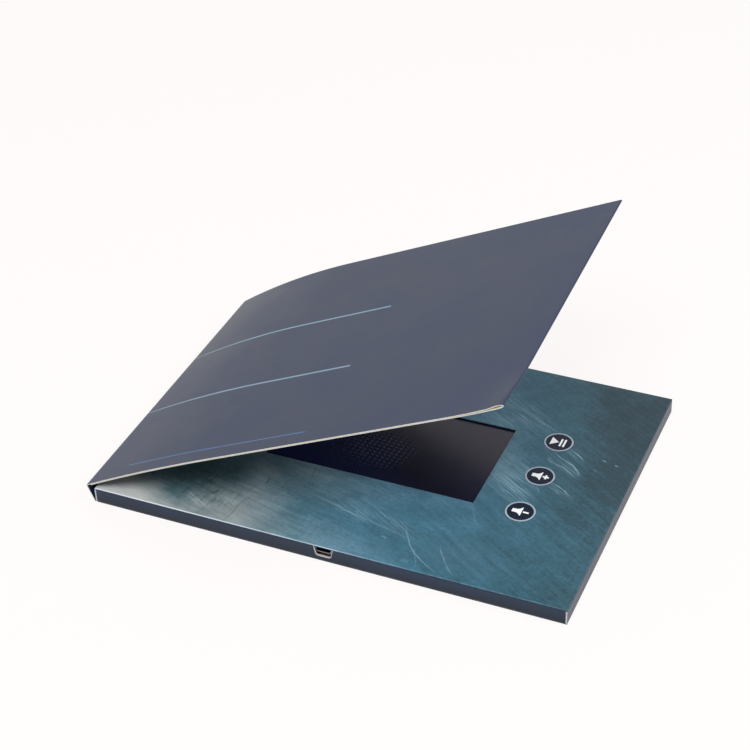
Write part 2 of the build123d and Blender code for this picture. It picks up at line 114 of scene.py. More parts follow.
def piece(name, points, faces, materials, slots=None, body="tray", **marks):
    """Make a mesh object from points in mm and faces, with one value per point in each mark."""
    mesh = bpy.data.meshes.new(name)
    mesh.from_pydata((np.asarray(points).reshape(-1, 3) * MM).tolist(), [], faces)
    for material in materials:
        mesh.materials.append(material)
    if slots is not None:
        mesh.polygons.foreach_set("material_index", np.asarray(slots, np.int32))
    for mark, values in marks.items():
        layer = mesh.attributes.new(mark, "FLOAT", "POINT")
        layer.data.foreach_set("value", np.asarray(values, np.float32).ravel())
    mesh.shade_smooth()
    mesh.set_sharp_from_angle(angle=math.radians(35))
    made = bpy.data.objects.new(name, mesh)
    bpy.context.scene.collection.objects.link(made)
    if body:
        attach(made, body)
    print(f"{name}: {len(mesh.vertices)} points, {len(mesh.polygons)} faces")
    return made


def card(name, outer, inner, materials, body="tray", bevel=0.05, **marks):
    """A card between two grids of points: outer is the print side, inner the back."""
    rows, cols = outer.shape[:2]
    sides = [quads(rows, cols), quads(rows, cols, rows * cols)[:, ::-1], rim(rows, cols)]
    slots = np.repeat([0, 1, 2], [len(s) for s in sides])
    marks = {mark: np.concatenate([np.ravel(v), np.ravel(v)]) for mark, v in marks.items()}
    points = np.concatenate([outer.reshape(-1, 3), inner.reshape(-1, 3)])
    made = piece(name, points, np.concatenate(sides).tolist(), materials, slots, body, **marks)
    if bevel:
        soften(made, bevel)
    return made


def soften(made, width, angle=50.0):
    """Round the sharp edges of a piece by this many mm."""
    edge = made.modifiers.new("worn edge", "BEVEL")
    edge.width = width * MM
    edge.segments = 2
    edge.limit_method = "ANGLE"
    edge.angle_limit = math.radians(angle)


def thicken(made, thickness):
    """Give a surface this many mm of card behind it: material 1 its back, 2 its cut edge."""
    thick = made.modifiers.new("card thickness", "SOLIDIFY")
    thick.thickness = thickness * MM
    thick.offset = -1.0
    thick.material_offset = 1
    thick.material_offset_rim = 2


def lines(low, high, step, marks=()):
    """Grid lines from low to high that pass through every mark, at most step apart."""
    stops = sorted({low, high, *(m for m in marks if low < m < high)})
    parts = [np.linspace(a, b, max(2, math.ceil((b - a) / step) + 1))[:-1]
             for a, b in zip(stops, stops[1:])]
    return np.concatenate([*parts, [high]])


# %% [markdown]
# ## Colours and nodes
# Colours are written as sRGB hex, as a paint chart gives them, and one function turns
# them to the linear values that light works with. One function adds any node.

# %% Colour and node helpers
def paint(code):
    """sRGB hex to linear: below 0.04 a straight line, above it a power of 2.4."""
    value = np.array([int(code[i:i + 2], 16) for i in (1, 3, 5)]) / 255
    linear = np.where(value <= 0.04045, value / 12.92, ((value + 0.055) / 1.055) ** 2.4)
    return (*(float(v) for v in linear), 1.0)


def output(value):
    """The first output in use, where value is a node, and otherwise value itself."""
    if isinstance(value, bpy.types.Node):
        return next(socket for socket in value.outputs if socket.enabled)
    return value


def add(tree, kind, *inputs, stops=None, **settings):
    """Add one node: its inputs in order, or a dict of them, its settings and its stops.

    An input is a value, a node or a node's output. A second word in kind, as in
    "Math MULTIPLY" or "Mix RGBA", sets the node's operation or its type of data.
    """
    kind, _, mode = kind.partition(" ")
    node = tree.nodes.new("ShaderNode" + kind)
    if mode:
        setattr(node, "data_type" if kind == "Mix" else "operation", mode)
    for setting, value in settings.items():
        setattr(node, setting, value)
    named = inputs[0] if inputs and isinstance(inputs[0], dict) else dict(enumerate(inputs))
    for socket, value in named.items():
        value = output(value)
        if isinstance(value, bpy.types.NodeSocket):
            tree.links.new(value, node.inputs[socket])
        else:
            node.inputs[socket].default_value = value
    if stops:
        ramp = node.color_ramp
        ramp.elements.remove(ramp.elements[1])
        ramp.elements[0].position, ramp.elements[0].color = stops[0]
        for place, colour in stops[1:]:
            ramp.elements.new(place).color = colour
    return node


def new_finish(name, **sockets):
    """A material with one Principled shader, whose own sockets take the given values."""
    material = bpy.data.materials.new(name)
    material.use_nodes = True
    shader = material.node_tree.nodes["Principled BSDF"]
    for socket, value in sockets.items():
        shader.inputs[socket.replace("_", " ")].default_value = value
    return material, material.node_tree, shader


def join(tree, shader, colour, roughness, normal=None):
    """Link a colour, a roughness and a normal into the shader."""
    for socket, source in (("Base Color", colour), ("Roughness", roughness), ("Normal", normal)):
        if source is not None:
            tree.links.new(output(source), shader.inputs[socket])


# %% [markdown]
# ## Matt-laminated print
# The outside is offset-printed board under a matt polypropylene film. Film has an index
# near 1.5 and a fine cast texture, so the navy looks deep from above and turns to slate
# where the light grazes it. A little dust and pressure mottling keeps it from being flat.
# At the creases the film is stretched, and the ink over it breaks into a paler line.

# %% Navy print
def film_relief(tree, place):
    """Relief of the film's cast texture: noise of a quarter millimetre, 0.02 mm high."""
    film = add(tree, "TexNoise", {"Vector": place, "Scale": 1 / (0.25 * MM), "Detail": 2.0})
    return add(tree, "Bump", {"Strength": 0.12, "Distance": 0.02 * MM, "Height": film})


def laminated_print(name, deep, light, worn, rules=False, foot_shade=1.0, gloss=0.42):
    """Offset print under matt film: mottled ink, film grain, paler where a crease bends it.

    The tone at floor level, a share of the ink's own, is painted shade: the print darkens towards the floor.
    """
    material, tree, shader = new_finish(name, IOR=1.5, Specular_IOR_Level=gloss)
    place = add(tree, "TexCoord").outputs["Object"]
    cloud = add(tree, "TexNoise", {"Vector": place, "Scale": 1 / (28 * MM), "Detail": 5.0,
                                   "Roughness": 0.6})
    ink = add(tree, "ValToRGB", cloud, stops=[(0.32, paint(deep)), (0.68, paint(light))])
    speck = add(tree, "TexNoise", {"Vector": place, "Scale": 1 / (0.9 * MM), "Detail": 3.0})
    grain = add(tree, "MapRange", speck, 0.3, 0.7, 0.93, 1.07)
    ink = add(tree, "Mix RGBA", {0: 1.0, 6: ink, 7: grain}, blend_type="MULTIPLY")
    # Painted shade: the ink darkens over the lowest few millimetres.
    if foot_shade < 1.0:
        height = add(tree, "SeparateXYZ", place).outputs["Z"]
        shade = add(tree, "MapRange", height, 0.6 * MM, 5.0 * MM, foot_shade, 1.0)
        ink = add(tree, "Mix RGBA", {0: 1.0, 6: ink, 7: shade}, blend_type="MULTIPLY")
    if rules:
        ink = printed_rules(tree, ink)
    bend = add(tree, "Attribute", attribute_name="bend").outputs["Fac"]
    crack = add(tree, "TexNoise", {"Vector": place, "Scale": 1 / (1.6 * MM), "Detail": 4.0})
    broken = add(tree, "Math MULTIPLY", bend, crack)
    broken = add(tree, "MapRange", broken, 0.36, 0.62)
    bare = add(tree, "Attribute", attribute_name="worn").outputs["Fac"]
    bare = add(tree, "Math MAXIMUM", bare, broken)
    ink = add(tree, "Mix RGBA", {0: bare, 6: ink, 7: paint(worn)})
    rough = add(tree, "MapRange", cloud, 0.3, 0.7, 0.38, 0.46)
    join(tree, shader, ink, rough, film_relief(tree, place))
    return material


# Two plain rules cross the cover from the crease, and a thin one runs near its near edge.
# Places are in mm across the sheet (along Y) and along it from the crease.
rule_middle, rule_spread, rule_width = 2.4, 22.6, 1.1
rule_end = 113.0
rule_ink, line_ink = "#7997a9", "#406c9d"
line_place, line_width, line_start = -66.4, 0.6, 20.0


def printed_rules(tree, ink):
    """Lay the rules over the ink: a rule is where the way across from its middle is short."""
    across = add(tree, "Attribute", attribute_name="across").outputs["Fac"]
    along = add(tree, "Attribute", attribute_name="along").outputs["Fac"]
    # Painted sheen: paler and warmer ink next to the crease, more so towards the far side.
    crease_sheen = add(tree, "MapRange", along, 34.0, -4.0, 0.0, 0.085)
    crease_sheen_far = add(tree, "MapRange", across, -30.0, 70.0, 0.1, 1.0)
    crease_sheen = add(tree, "Math MULTIPLY", crease_sheen, crease_sheen_far)
    ink = add(tree, "Mix RGBA", {0: crease_sheen, 6: ink, 7: paint("#aba796")})
    from_middle = add(tree, "Math SUBTRACT", across, rule_middle)
    from_middle = add(tree, "Math ABSOLUTE", from_middle)
    pair = add(tree, "Math SUBTRACT", from_middle, rule_spread)
    single = add(tree, "Math SUBTRACT", across, line_place)
    soft = 0.1  # half the length over which a line begins or ends
    fade_in, sharp_in = (-12.0, 40.0, 0.45), (line_start - soft, line_start + soft, 0.0)
    rules = ((pair, rule_width, fade_in, rule_ink, 0.85),
             (single, line_width, sharp_in, line_ink, 0.8))
    for offset, width, begins, colour, strength in rules:
        near = add(tree, "Math ABSOLUTE", offset)
        band = add(tree, "MapRange", near, width / 2 + 0.06, width / 2 - 0.06, 0.0, strength)
        ends = add(tree, "MapRange", along, rule_end + soft, rule_end - soft)
        begin = add(tree, "MapRange", along, begins[0], begins[1], begins[2], 1.0)
        shown = add(tree, "Math MULTIPLY", band, ends)
        shown = add(tree, "Math MULTIPLY", shown, begin)
        ink = add(tree, "Mix RGBA", {0: shown, 6: ink, 7: paint(colour)})
    return ink


cover_print = laminated_print("matt laminated navy print with rules", "#13233d", "#192945",
                              "#757981", rules=True)
navy_print = laminated_print("matt laminated navy print", "#13233d", "#192945", "#7a7f88")

# %% [markdown]
# ## Raw board
# A cut edge shows the layers of the board: cream fibre with darker and lighter plies.
# The plies lie along the sheet, so the noise is long in X and Y and short in Z.

# %% Raw board edge and unprinted back
def raw_board(name, dark, light, ply):
    """Cut or unprinted board: fibre clouds, and plies this many mm thick across the height."""
    material, tree, shader = new_finish(name, IOR=1.45, Specular_IOR_Level=0.25)
    place = add(tree, "TexCoord").outputs["Object"]
    plies = add(tree, "Mapping", {"Vector": place, "Scale": (6 * MM, 6 * MM, ply * MM)},
                vector_type="TEXTURE")
    layer = add(tree, "TexNoise", {"Vector": plies, "Scale": 1.0, "Detail": 3.0})
    fibre = add(tree, "TexNoise", {"Vector": place, "Scale": 1 / (0.5 * MM), "Detail": 6.0})
    both = add(tree, "Math ADD", layer, fibre)
    tone = add(tree, "MapRange", both, 0.75, 1.25)
    colour = add(tree, "ValToRGB", tone, stops=[(0.0, paint(dark)), (1.0, paint(light))])
    bump = add(tree, "Bump", {"Strength": 0.35, "Distance": 0.04 * MM, "Height": fibre})
    rough = add(tree, "MapRange", {0: fibre, 3: 0.75, 4: 0.95})
    join(tree, shader, colour, rough, bump)
    return material


cut_edge = raw_board("cut edge of coated board", "#9f9e95", "#c5c4bd", 0.12)
white_edge = raw_board("cut edge of white-lined board", "#98999d", "#b3b4b9", 0.2)
# The face card's cut edge is darkened to the teal of its print: painted shade in the window's recess.
shaded_face_edge = raw_board("cut edge darkened to teal, painted shade", "#5f7a85", "#7c96a1", 0.2)
inner_side = raw_board("unprinted side inside the fold", "#bdb38c", "#d3caa8", 0.3)
board_back = raw_board("unprinted board back", "#797564", "#8f8a78", 0.3)

# %% [markdown]
# ## The outer sheet
# Back cover, spine and front cover are one sheet of board, creased twice. In section it
# is a line with two tight bends, thickened by half the sheet to each side. Two of its
# stretches cross a crease. The cover itself bows beside the crease and runs straight
# after that, and it leaves the crease more steeply at its far edge, so it is ruled
# between two such lines.

# %% Centre line of the sheet
near_lift, far_lift = 29.1, 36.7  # degrees above level at the crease
free_lift = 25.0  # the same over the straight stretch
bow_length, cover_length = 67.0, 207.5
bend_radius = 0.3  # of the sheet's middle at a crease
cover_width = y_cover_far - y_near


def on_cover(lift, along, height=0.0):
    """Points (x, z) of the cover's line: an arc over the bow, then its tangent.

    The direction falls from lift to free_lift over the bow, and height is measured
    outwards from the line.
    """
    turned = math.radians(lift - free_lift)
    radius = bow_length / turned
    arc = np.minimum(along, bow_length)
    angle = math.radians(lift) - arc / radius
    straight = along - arc
    centre = upper_crease + radius * np.array([math.sin(math.radians(lift)),
                                               -math.cos(math.radians(lift))])
    return np.stack([
        centre[0] - (radius + height) * np.sin(angle) + straight * np.cos(angle),
        centre[1] + (radius + height) * np.cos(angle) + straight * np.sin(angle),
    ], -1)


def bent_line(start, corner, end):
    """Points, outward normals and bend share of a line that turns a corner on an arc.

    The arc touches both runs at bend_radius * tan(half the turn) from the corner.
    """
    steps = 8  # of the arc
    start, corner, end = (np.asarray(p, float) for p in (start, corner, end))
    into, out = corner - start, end - corner
    first, last = np.linalg.norm(into), np.linalg.norm(out)
    into, out = into / first, out / last
    turn = math.atan2(into[0] * out[1] - into[1] * out[0], into @ out)
    tangent = bend_radius * math.tan(abs(turn) / 2)
    angles = np.linspace(0, turn, steps + 1)
    side = np.sign(turn) * np.array([-into[1], into[0]])
    centre = corner - into * tangent + side * bend_radius
    swept = centre + bend_radius * (np.outer(np.sin(abs(angles)), into)
                                    - np.outer(np.cos(angles), side))
    headings = np.stack([into[0] * np.cos(angles) - into[1] * np.sin(angles),
                         into[0] * np.sin(angles) + into[1] * np.cos(angles)], -1)
    run_in = np.linspace(0, 1, 4)[:-1, None] * (first - tangent) * into + start
    run_out = corner + out * (tangent + np.linspace(0, 1, 4)[1:, None] * (last - tangent))
    points = np.concatenate([run_in, swept, run_out])
    heading = np.concatenate([np.tile(into, (3, 1)), headings, np.tile(out, (3, 1))])
    normals = np.stack([-heading[:, 1], heading[:, 0]], -1)
    bend = np.concatenate([[0, 0, 0.2], np.ones(steps + 1), [0.2, 0, 0]])
    return points, normals, bend


def across_lines(step):
    """Places from the cover's near edge to its far edge, closer together beside both."""
    edge = np.array([0.0, 0.15, 0.35, 0.6, 1.0, 1.5, 2.2, 3.2])
    inside = lines(y_near + edge[-1], y_cover_far - edge[-1], step)
    return np.concatenate([y_near + edge[:-1], inside, (y_cover_far - edge[:-1])[::-1]])


def spread(sections, ys):
    """Grid of points from sections (rows of x, z), one for each y, or one for all of them."""
    sections = np.broadcast_to(sections, (len(ys), *np.shape(sections)[-2:]))
    grid = np.empty((sections.shape[1], len(ys), 3))
    grid[..., 0], grid[..., 2] = sections[..., 0].T, sections[..., 1].T
    grid[..., 1] = ys
    return grid


# %% Lower crease: from the back cover into the spine
spine_middle = (lower_crease + upper_crease) / 2
spine_ys = across_lines(6.0)
leaf_end = (x_spine + 1.0, sheet / 2)
points, normals, bend = bent_line(leaf_end, lower_crease, spine_middle)
outer = spread(points + normals * sheet / 2, spine_ys)
inner = spread(points - normals * sheet / 2, spine_ys)
for side in (outer, inner):  # the leaf under the tray ends at the tray's far wall
    side[:4, :, 1] = np.interp(side[:4, :, 1], (y_near, y_cover_far), (y_near, y_far))
lower_fold = card("lower_fold", outer, inner, [navy_print, navy_print, cut_edge], body=None,
                  bevel=0.0, bend=np.repeat(bend, len(spine_ys)))
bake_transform(lower_fold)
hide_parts("spine_panel")

# %% Upper crease: from the spine into the front cover
fold_end = 3.0  # the cover's own card takes over this far along
shares = (spine_ys - y_near) / cover_width
near_row, far_row = (bent_line(spine_middle, upper_crease, on_cover(lift, fold_end))
                     for lift in (near_lift, far_lift))


def ruled(near, far, share):
    """Sections between the near one and the far one, one for each share of the way."""
    return near + (far - near) * np.asarray(share)[:, None, None]


points = ruled(near_row[0], far_row[0], shares)
normals = ruled(near_row[1], far_row[1], shares)
normals /= np.linalg.norm(normals, axis=-1, keepdims=True)
upper_fold = card("upper_fold", spread(points + normals * sheet / 2, spine_ys),
                  spread(points - normals * sheet / 2, spine_ys),
                  [cover_print, navy_print, cut_edge], body=None, bevel=0.0,
                  bend=np.repeat(near_row[2], len(spine_ys)),
                  across=np.tile(spine_ys, len(near_row[2])),
                  along=np.repeat(np.concatenate([np.zeros(9), np.linspace(0, fold_end, 6)]),
                                  len(spine_ys)))
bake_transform(upper_fold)

# %% [markdown]
# ## The cover folds back on itself
# The front cover is one sheet turned round at its free edge and glued down inside, so
# that edge is a printed fold and only its near and far edges are cut. The path of the
# sheet is drawn in two numbers, along the cover and off it: out along the outer leaf,
# round a half ellipse at the fold, and back along the inner leaf. At the near corner the
# glue stops short, the leaves stand open and the nose is longer.

# %% Folded cover
leaf_gap = 0.02  # between the glued leaves
inner_leaf = -sheet - leaf_gap  # height of the inner leaf's middle
open_height, open_reach, open_width = 0.42, 7.0, 14.0  # of the open corner
swell, swell_reach, swell_width = 0.48, 32.0, 20.0  # the cut edge is crushed wider there
curl_height, curl_reach = 0.9, 22.0
nose_short, nose_long = 0.35, 3.0
corner_back = 0.15  # the fold draws back this much at the near corner


def rise(share):
    """0 below 0, 1 above 1, and 3 t^2 - 2 t^3 between."""
    share = np.clip(share, 0.0, 1.0)
    return share**2 * (3.0 - 2.0 * share)


def swelling(along, ys, end):
    """Extra thickness of a crushed leaf: greatest at the corner, and gone away from it."""
    near = np.exp(-((ys - y_near) / swell_width) ** 2)
    return swell * near * rise((along - (end - swell_reach)) / swell_reach)


def sheet_path(ys):
    """Places (along, off) of the folded sheet's middle, one column for each y."""
    near = np.exp(-((ys - y_near) / open_width) ** 2)
    nose = nose_short + (nose_long - nose_short) * near
    end = cover_length - sheet / 2 - corner_back * np.exp(-((ys - y_near) / 9.0) ** 2)
    flat = np.concatenate([lines(0.0, 0.62, 0.025), lines(0.62, 1.0, 0.02)[1:]])
    out = fold_end + (end - nose - fold_end) * flat[:, None]
    back = 2.0 + (end - nose - 2.0) * flat[::-1, None]
    gap = open_height * near * rise((out - (end - open_reach)) / (open_reach - nose))
    gap_back = open_height * near * rise((back - (end - open_reach)) / (open_reach - nose))
    gap += swelling(out, ys, end) * 0.6
    gap_back += swelling(back, ys, end) * 1.4
    turn = np.linspace(math.pi / 2, -math.pi / 2, 15)[1:-1, None]
    top, bottom = 0.85 * gap[-1], inner_leaf - 0.15 * gap_back[0]
    round_off = (top + bottom) / 2 + (top - bottom) / 2 * np.sin(turn)
    along = np.concatenate([out, end - nose + nose * np.cos(turn), back])
    off = np.concatenate([0.85 * gap, round_off, inner_leaf - 0.15 * gap_back])
    off += curl_height * near * np.clip(1 - (end - along) / curl_reach, 0, 1) ** 2
    return np.stack([along, off], -1)


cover_ys = across_lines(5.0)
path = sheet_path(cover_ys)
heading = np.gradient(path, axis=0)
heading /= np.linalg.norm(heading, axis=-1, keepdims=True)
outward = np.stack([-heading[..., 1], heading[..., 0]], -1)
share = ((cover_ys - y_near) / cover_width)[:, None]
sides = []
for half in (sheet / 2, -(sheet / 2 - 0.01)):
    along, off = np.moveaxis(path + outward * half, -1, 0)
    section = on_cover(near_lift, along, off)
    section = section + (on_cover(far_lift, along, off) - section) * share
    sides.append(np.stack([section[..., 0], np.broadcast_to(cover_ys, along.shape),
                           section[..., 1]], -1))
walked = np.cumsum(np.linalg.norm(np.diff(path, axis=0, prepend=path[:1]), axis=-1), axis=0)
cover_sheet = card("cover_folded_sheet", *sides, [cover_print, inner_side, cut_edge],
                   "front_cover", bevel=0.05, bend=np.zeros_like(walked), along=walked + fold_end,
                   across=np.broadcast_to(cover_ys, walked.shape))
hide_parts("front_cover_card", "front_cover_liner")

# %% Back cover: the flat leaf under the tray
leaf_xs = lines(x_spine + 1.0, x_open, 8.0)
leaf_ys = lines(y_near, y_far, 8.0)
under = np.stack(np.meshgrid(leaf_xs, leaf_ys, [0.0], indexing="ij"), -1)[:, :, 0]
leaf = card("back_leaf", under[:, ::-1], under[:, ::-1] + (0, 0, sheet),
            [navy_print, board_back, navy_print])
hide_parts("back_cover")

# %% [markdown]
# ## The printed face
# The top card carries a print of scratched, brushed steel in teal. Its four edges fold
# down over the walls on a small radius, where the film wears and a pale line shows.
# The pattern is made of streaks: noise sampled in a frame turned to the brushing
# direction, long along it and a fraction of a millimetre across it. Each streak layer
# has its own angle and its own clouds that let it show.

# %% Scratched-metal print
far_brush, near_brush = math.radians(-34), math.radians(-13)  # of the brushing, from +X
scratches = [  # start, end, bulge to the left of the way, width, all in mm, and strength
    ((45.3, 43.1), (57.4, 36.9), 0.3, 0.5, 0.85),
    ((52.0, 39.2), (64.6, 33.4), -0.3, 0.7, 0.75),
    ((45.3, 40.0), (51.7, 34.8), 0.2, 0.5, 0.6),
    ((37.4, 48.9), (41.0, 43.9), 0.2, 0.4, 0.55),
    ((46.7, 48.1), (51.2, 43.0), 0.3, 0.4, 0.4),
    ((37.2, 33.4), (47.0, 29.4), 0.2, 0.9, 0.5),
    ((37.0, 37.5), (46.5, 31.8), 0.2, 0.5, 0.4),
    ((74.8, 23.0), (82.3, 16.8), 0.3, 0.55, 1.1),
    ((73.6, 21.8), (78.6, 17.9), 0.3, 0.5, 0.6),
    ((67.6, 19.2), (78.6, 12.4), -0.3, 0.5, 0.95),
    ((75.0, 14.4), (83.4, 7.7), 0.8, 0.75, 1.3),
    ((69.6, 11.8), (82.0, 6.0), 0.5, 0.7, 0.75),
    ((67.6, 14.2), (70.8, 10.8), -0.5, 1.5, 0.55),
    ((57.0, 6.6), (63.0, 2.6), 0.3, 1.6, 0.75),
    ((49.2, 7.0), (53.4, 4.0), 0.2, 0.5, 0.9),
    ((50.0, 5.6), (60.0, 1.2), 0.5, 0.5, 0.6),
    ((74.2, -2.0), (83.6, -7.2), 0.5, 0.65, 1.0),
    ((73.0, -4.6), (80.0, -8.0), 0.3, 0.5, 0.5),
    ((68.9, -6.0), (71.6, -9.8), -0.2, 0.4, 0.7),
    ((49.0, -3.8), (60.6, -10.8), 0.4, 0.9, 0.7),
    ((49.4, -6.0), (58.0, -14.8), 0.5, 0.7, 0.6),
    ((52.6, -2.2), (66.4, -15.8), 0.8, 0.8, 0.5),
    ((49.0, -12.0), (60.0, -19.0), 0.5, 0.6, 0.4),
    ((48.6, -27.6), (54.8, -39.0), -0.5, 0.6, 0.35),
    ((-17.0, -44.4), (12.5, -53.6), 0.7, 0.8, 0.55),
    ((-9.0, -47.6), (31.0, -56.8), 0.9, 0.7, 0.45),
    ((4.9, -40.6), (19.0, -47.6), 0.4, 0.5, 0.55),
    ((13.0, -44.8), (30.0, -53.0), 0.4, 0.6, 0.5),
    ((28.6, -51.0), (47.6, -70.9), -2.7, 0.5, 0.9),
    ((35.8, -60.6), (40.6, -73.0), 0.3, 0.4, 0.45),
    ((45.4, -55.6), (56.8, -71.6), -1.1, 0.45, 0.75),
    ((-48.6, -60.0), (-37.0, -65.0), -0.8, 0.6, 0.6),
    ((89.6, 20.5), (91.2, 19.9), 0.1, 0.8, 0.9),
    ((95.0, 19.2), (97.2, 18.6), 0.1, 0.7, 0.8),
    ((88.0, 13.4), (89.4, 12.2), 0.1, 0.5, 0.5),
    ((21.0, -58.8), (23.4, -59.8), 0.1, 0.9, 0.6),
    ((33.4, -69.4), (36.4, -69.6), 0.1, 1.8, 0.4),
]
dark_scratches = [
    ((-38.3, -41.2), (-38.1, -46.2), 0.1, 0.7, 0.5),
    ((-42.0, -56.6), (-43.8, -73.2), 0.3, 0.6, 0.36),
    ((-23.4, -25.0), (-21.6, -37.6), 0.3, 0.8, 0.22),
    ((-30.6, -40.0), (-30.0, -47.0), 0.1, 0.6, 0.18),
]
scuffs = [  # brighter clusters: middle, half length, half width, angle in degrees, strength
    ((49.0, 40.0), 22.0, 9.0, -30.0, 0.65),
    ((40.0, 31.0), 14.0, 5.0, -26.0, 0.9),
    ((56.0, -1.0), 19.0, 10.0, -38.0, 1.1),
    ((60.5, -12.0), 17.0, 7.0, -40.0, 1.1),
    ((75.0, 11.5), 13.0, 4.0, -34.0, 0.6),
    ((77.0, 21.0), 9.0, 3.5, -36.0, 0.5),
    ((78.0, -5.0), 12.0, 3.5, -26.0, 0.5),
    ((5.0, -47.0), 24.0, 5.0, -17.0, 0.5),
    ((24.0, -50.0), 18.0, 6.0, -30.0, 0.35),
    ((-60.0, -65.0), 9.0, 3.5, -25.0, 1.2),
]
# Ovals on the face: most are painted light, lifting the tone where the cover's shade falls, and the few with a
# negative tone darken it.
tone_and_light_ovals = [  # middle, half length, half width, angle in degrees, lighter tone, paler ink
    ((-20.0, -31.0), 50.0, 17.0, -4.0, 0.32, 0.05),
    ((-32.0, -49.0), 24.0, 13.0, -8.0, 0.16, 0.03),
    ((-3.0, -75.0), 42.0, 20.0, 0.0, 0.14, 0.09),
    ((95.0, -38.0), 30.0, 24.0, 0.0, 0.12, 0.0),
    ((54.0, -3.0), 22.0, 9.0, -70.0, 0.14, 0.02),
    ((54.0, 13.0), 9.0, 10.0, 0.0, 0.1, 0.0),
    ((-43.0, -40.0), 12.0, 10.0, -70.0, 0.32, 0.06),
    ((56.0, -59.0), 26.0, 14.0, 0.0, 0.08, 0.02),
    ((100.0, 30.0), 18.0, 44.0, 0.0, -0.08, 0.0),
    ((40.0, -37.0), 16.0, 9.0, 0.0, -0.1, 0.0),
    ((58.0, 46.0), 18.0, 12.0, -30.0, -0.08, 0.0),
    ((-66.0, -74.0), 13.0, 9.0, 0.0, 0.1, 0.3),
    ((-84.0, -60.0), 12.0, 8.0, 38.0, 0.25, 0.05),
]


def streaks(tree, place, angle, length, width, low, high, detail=3.0):
    """Streaks this long and wide in mm at this angle: noise on stretched, turned places."""
    turned = add(tree, "Mapping", {"Vector": place, "Rotation": (0, 0, angle),
                                   "Scale": (length * MM, width * MM, 1.0)},
                 vector_type="TEXTURE")
    noise = add(tree, "TexNoise", {"Vector": turned, "Scale": 1.0, "Detail": detail,
                                   "Roughness": 0.55, "Distortion": 0.4})
    return add(tree, "MapRange", noise, low, high)


def spot(tree, place, middle, half_length, half_width, degrees=0.0):
    """A soft oval that is 1 in its middle and falls to 0 at its border."""
    turned = add(tree, "Mapping", {
        "Vector": place, "Location": (middle[0] * MM, middle[1] * MM, face_top * MM),
        "Rotation": (0, 0, math.radians(degrees)),
        "Scale": (half_length * MM, half_width * MM, 0.1)}, vector_type="TEXTURE")
    return add(tree, "TexGradient", turned, gradient_type="SPHERICAL").outputs[1]


def scratch(tree, place, start, end, bulge, width):
    """An arc between two places: 1 where the way to its circle's centre is the radius."""
    start, end = np.array(start), np.array(end)
    way = end - start
    length = np.linalg.norm(way)
    left = np.array([-way[1], way[0]]) / length
    radius = length**2 / (8 * abs(bulge)) + abs(bulge) / 2
    centre = (start + end) / 2 + left * (bulge - math.copysign(radius, bulge))
    ringed = add(tree, "Mapping", {
        "Vector": place, "Location": (centre[0] * MM, centre[1] * MM, face_top * MM),
        "Scale": (radius * MM, radius * MM, 1.0)}, vector_type="TEXTURE")
    away = add(tree, "VectorMath LENGTH", ringed)
    off = add(tree, "Math SUBTRACT", away, 1.0)
    off = add(tree, "Math ABSOLUTE", off)
    line = add(tree, "MapRange", off, 0.8 * width / radius, 0.2 * width / radius)
    near = spot(tree, place, (start + end) / 2 + left * bulge / 2, length * 0.6,
                length * 0.3 + abs(bulge) + width, math.degrees(math.atan2(way[1], way[0])))
    near = add(tree, "MapRange", {0: near, 2: 0.6})
    return add(tree, "Math MULTIPLY", line, near)


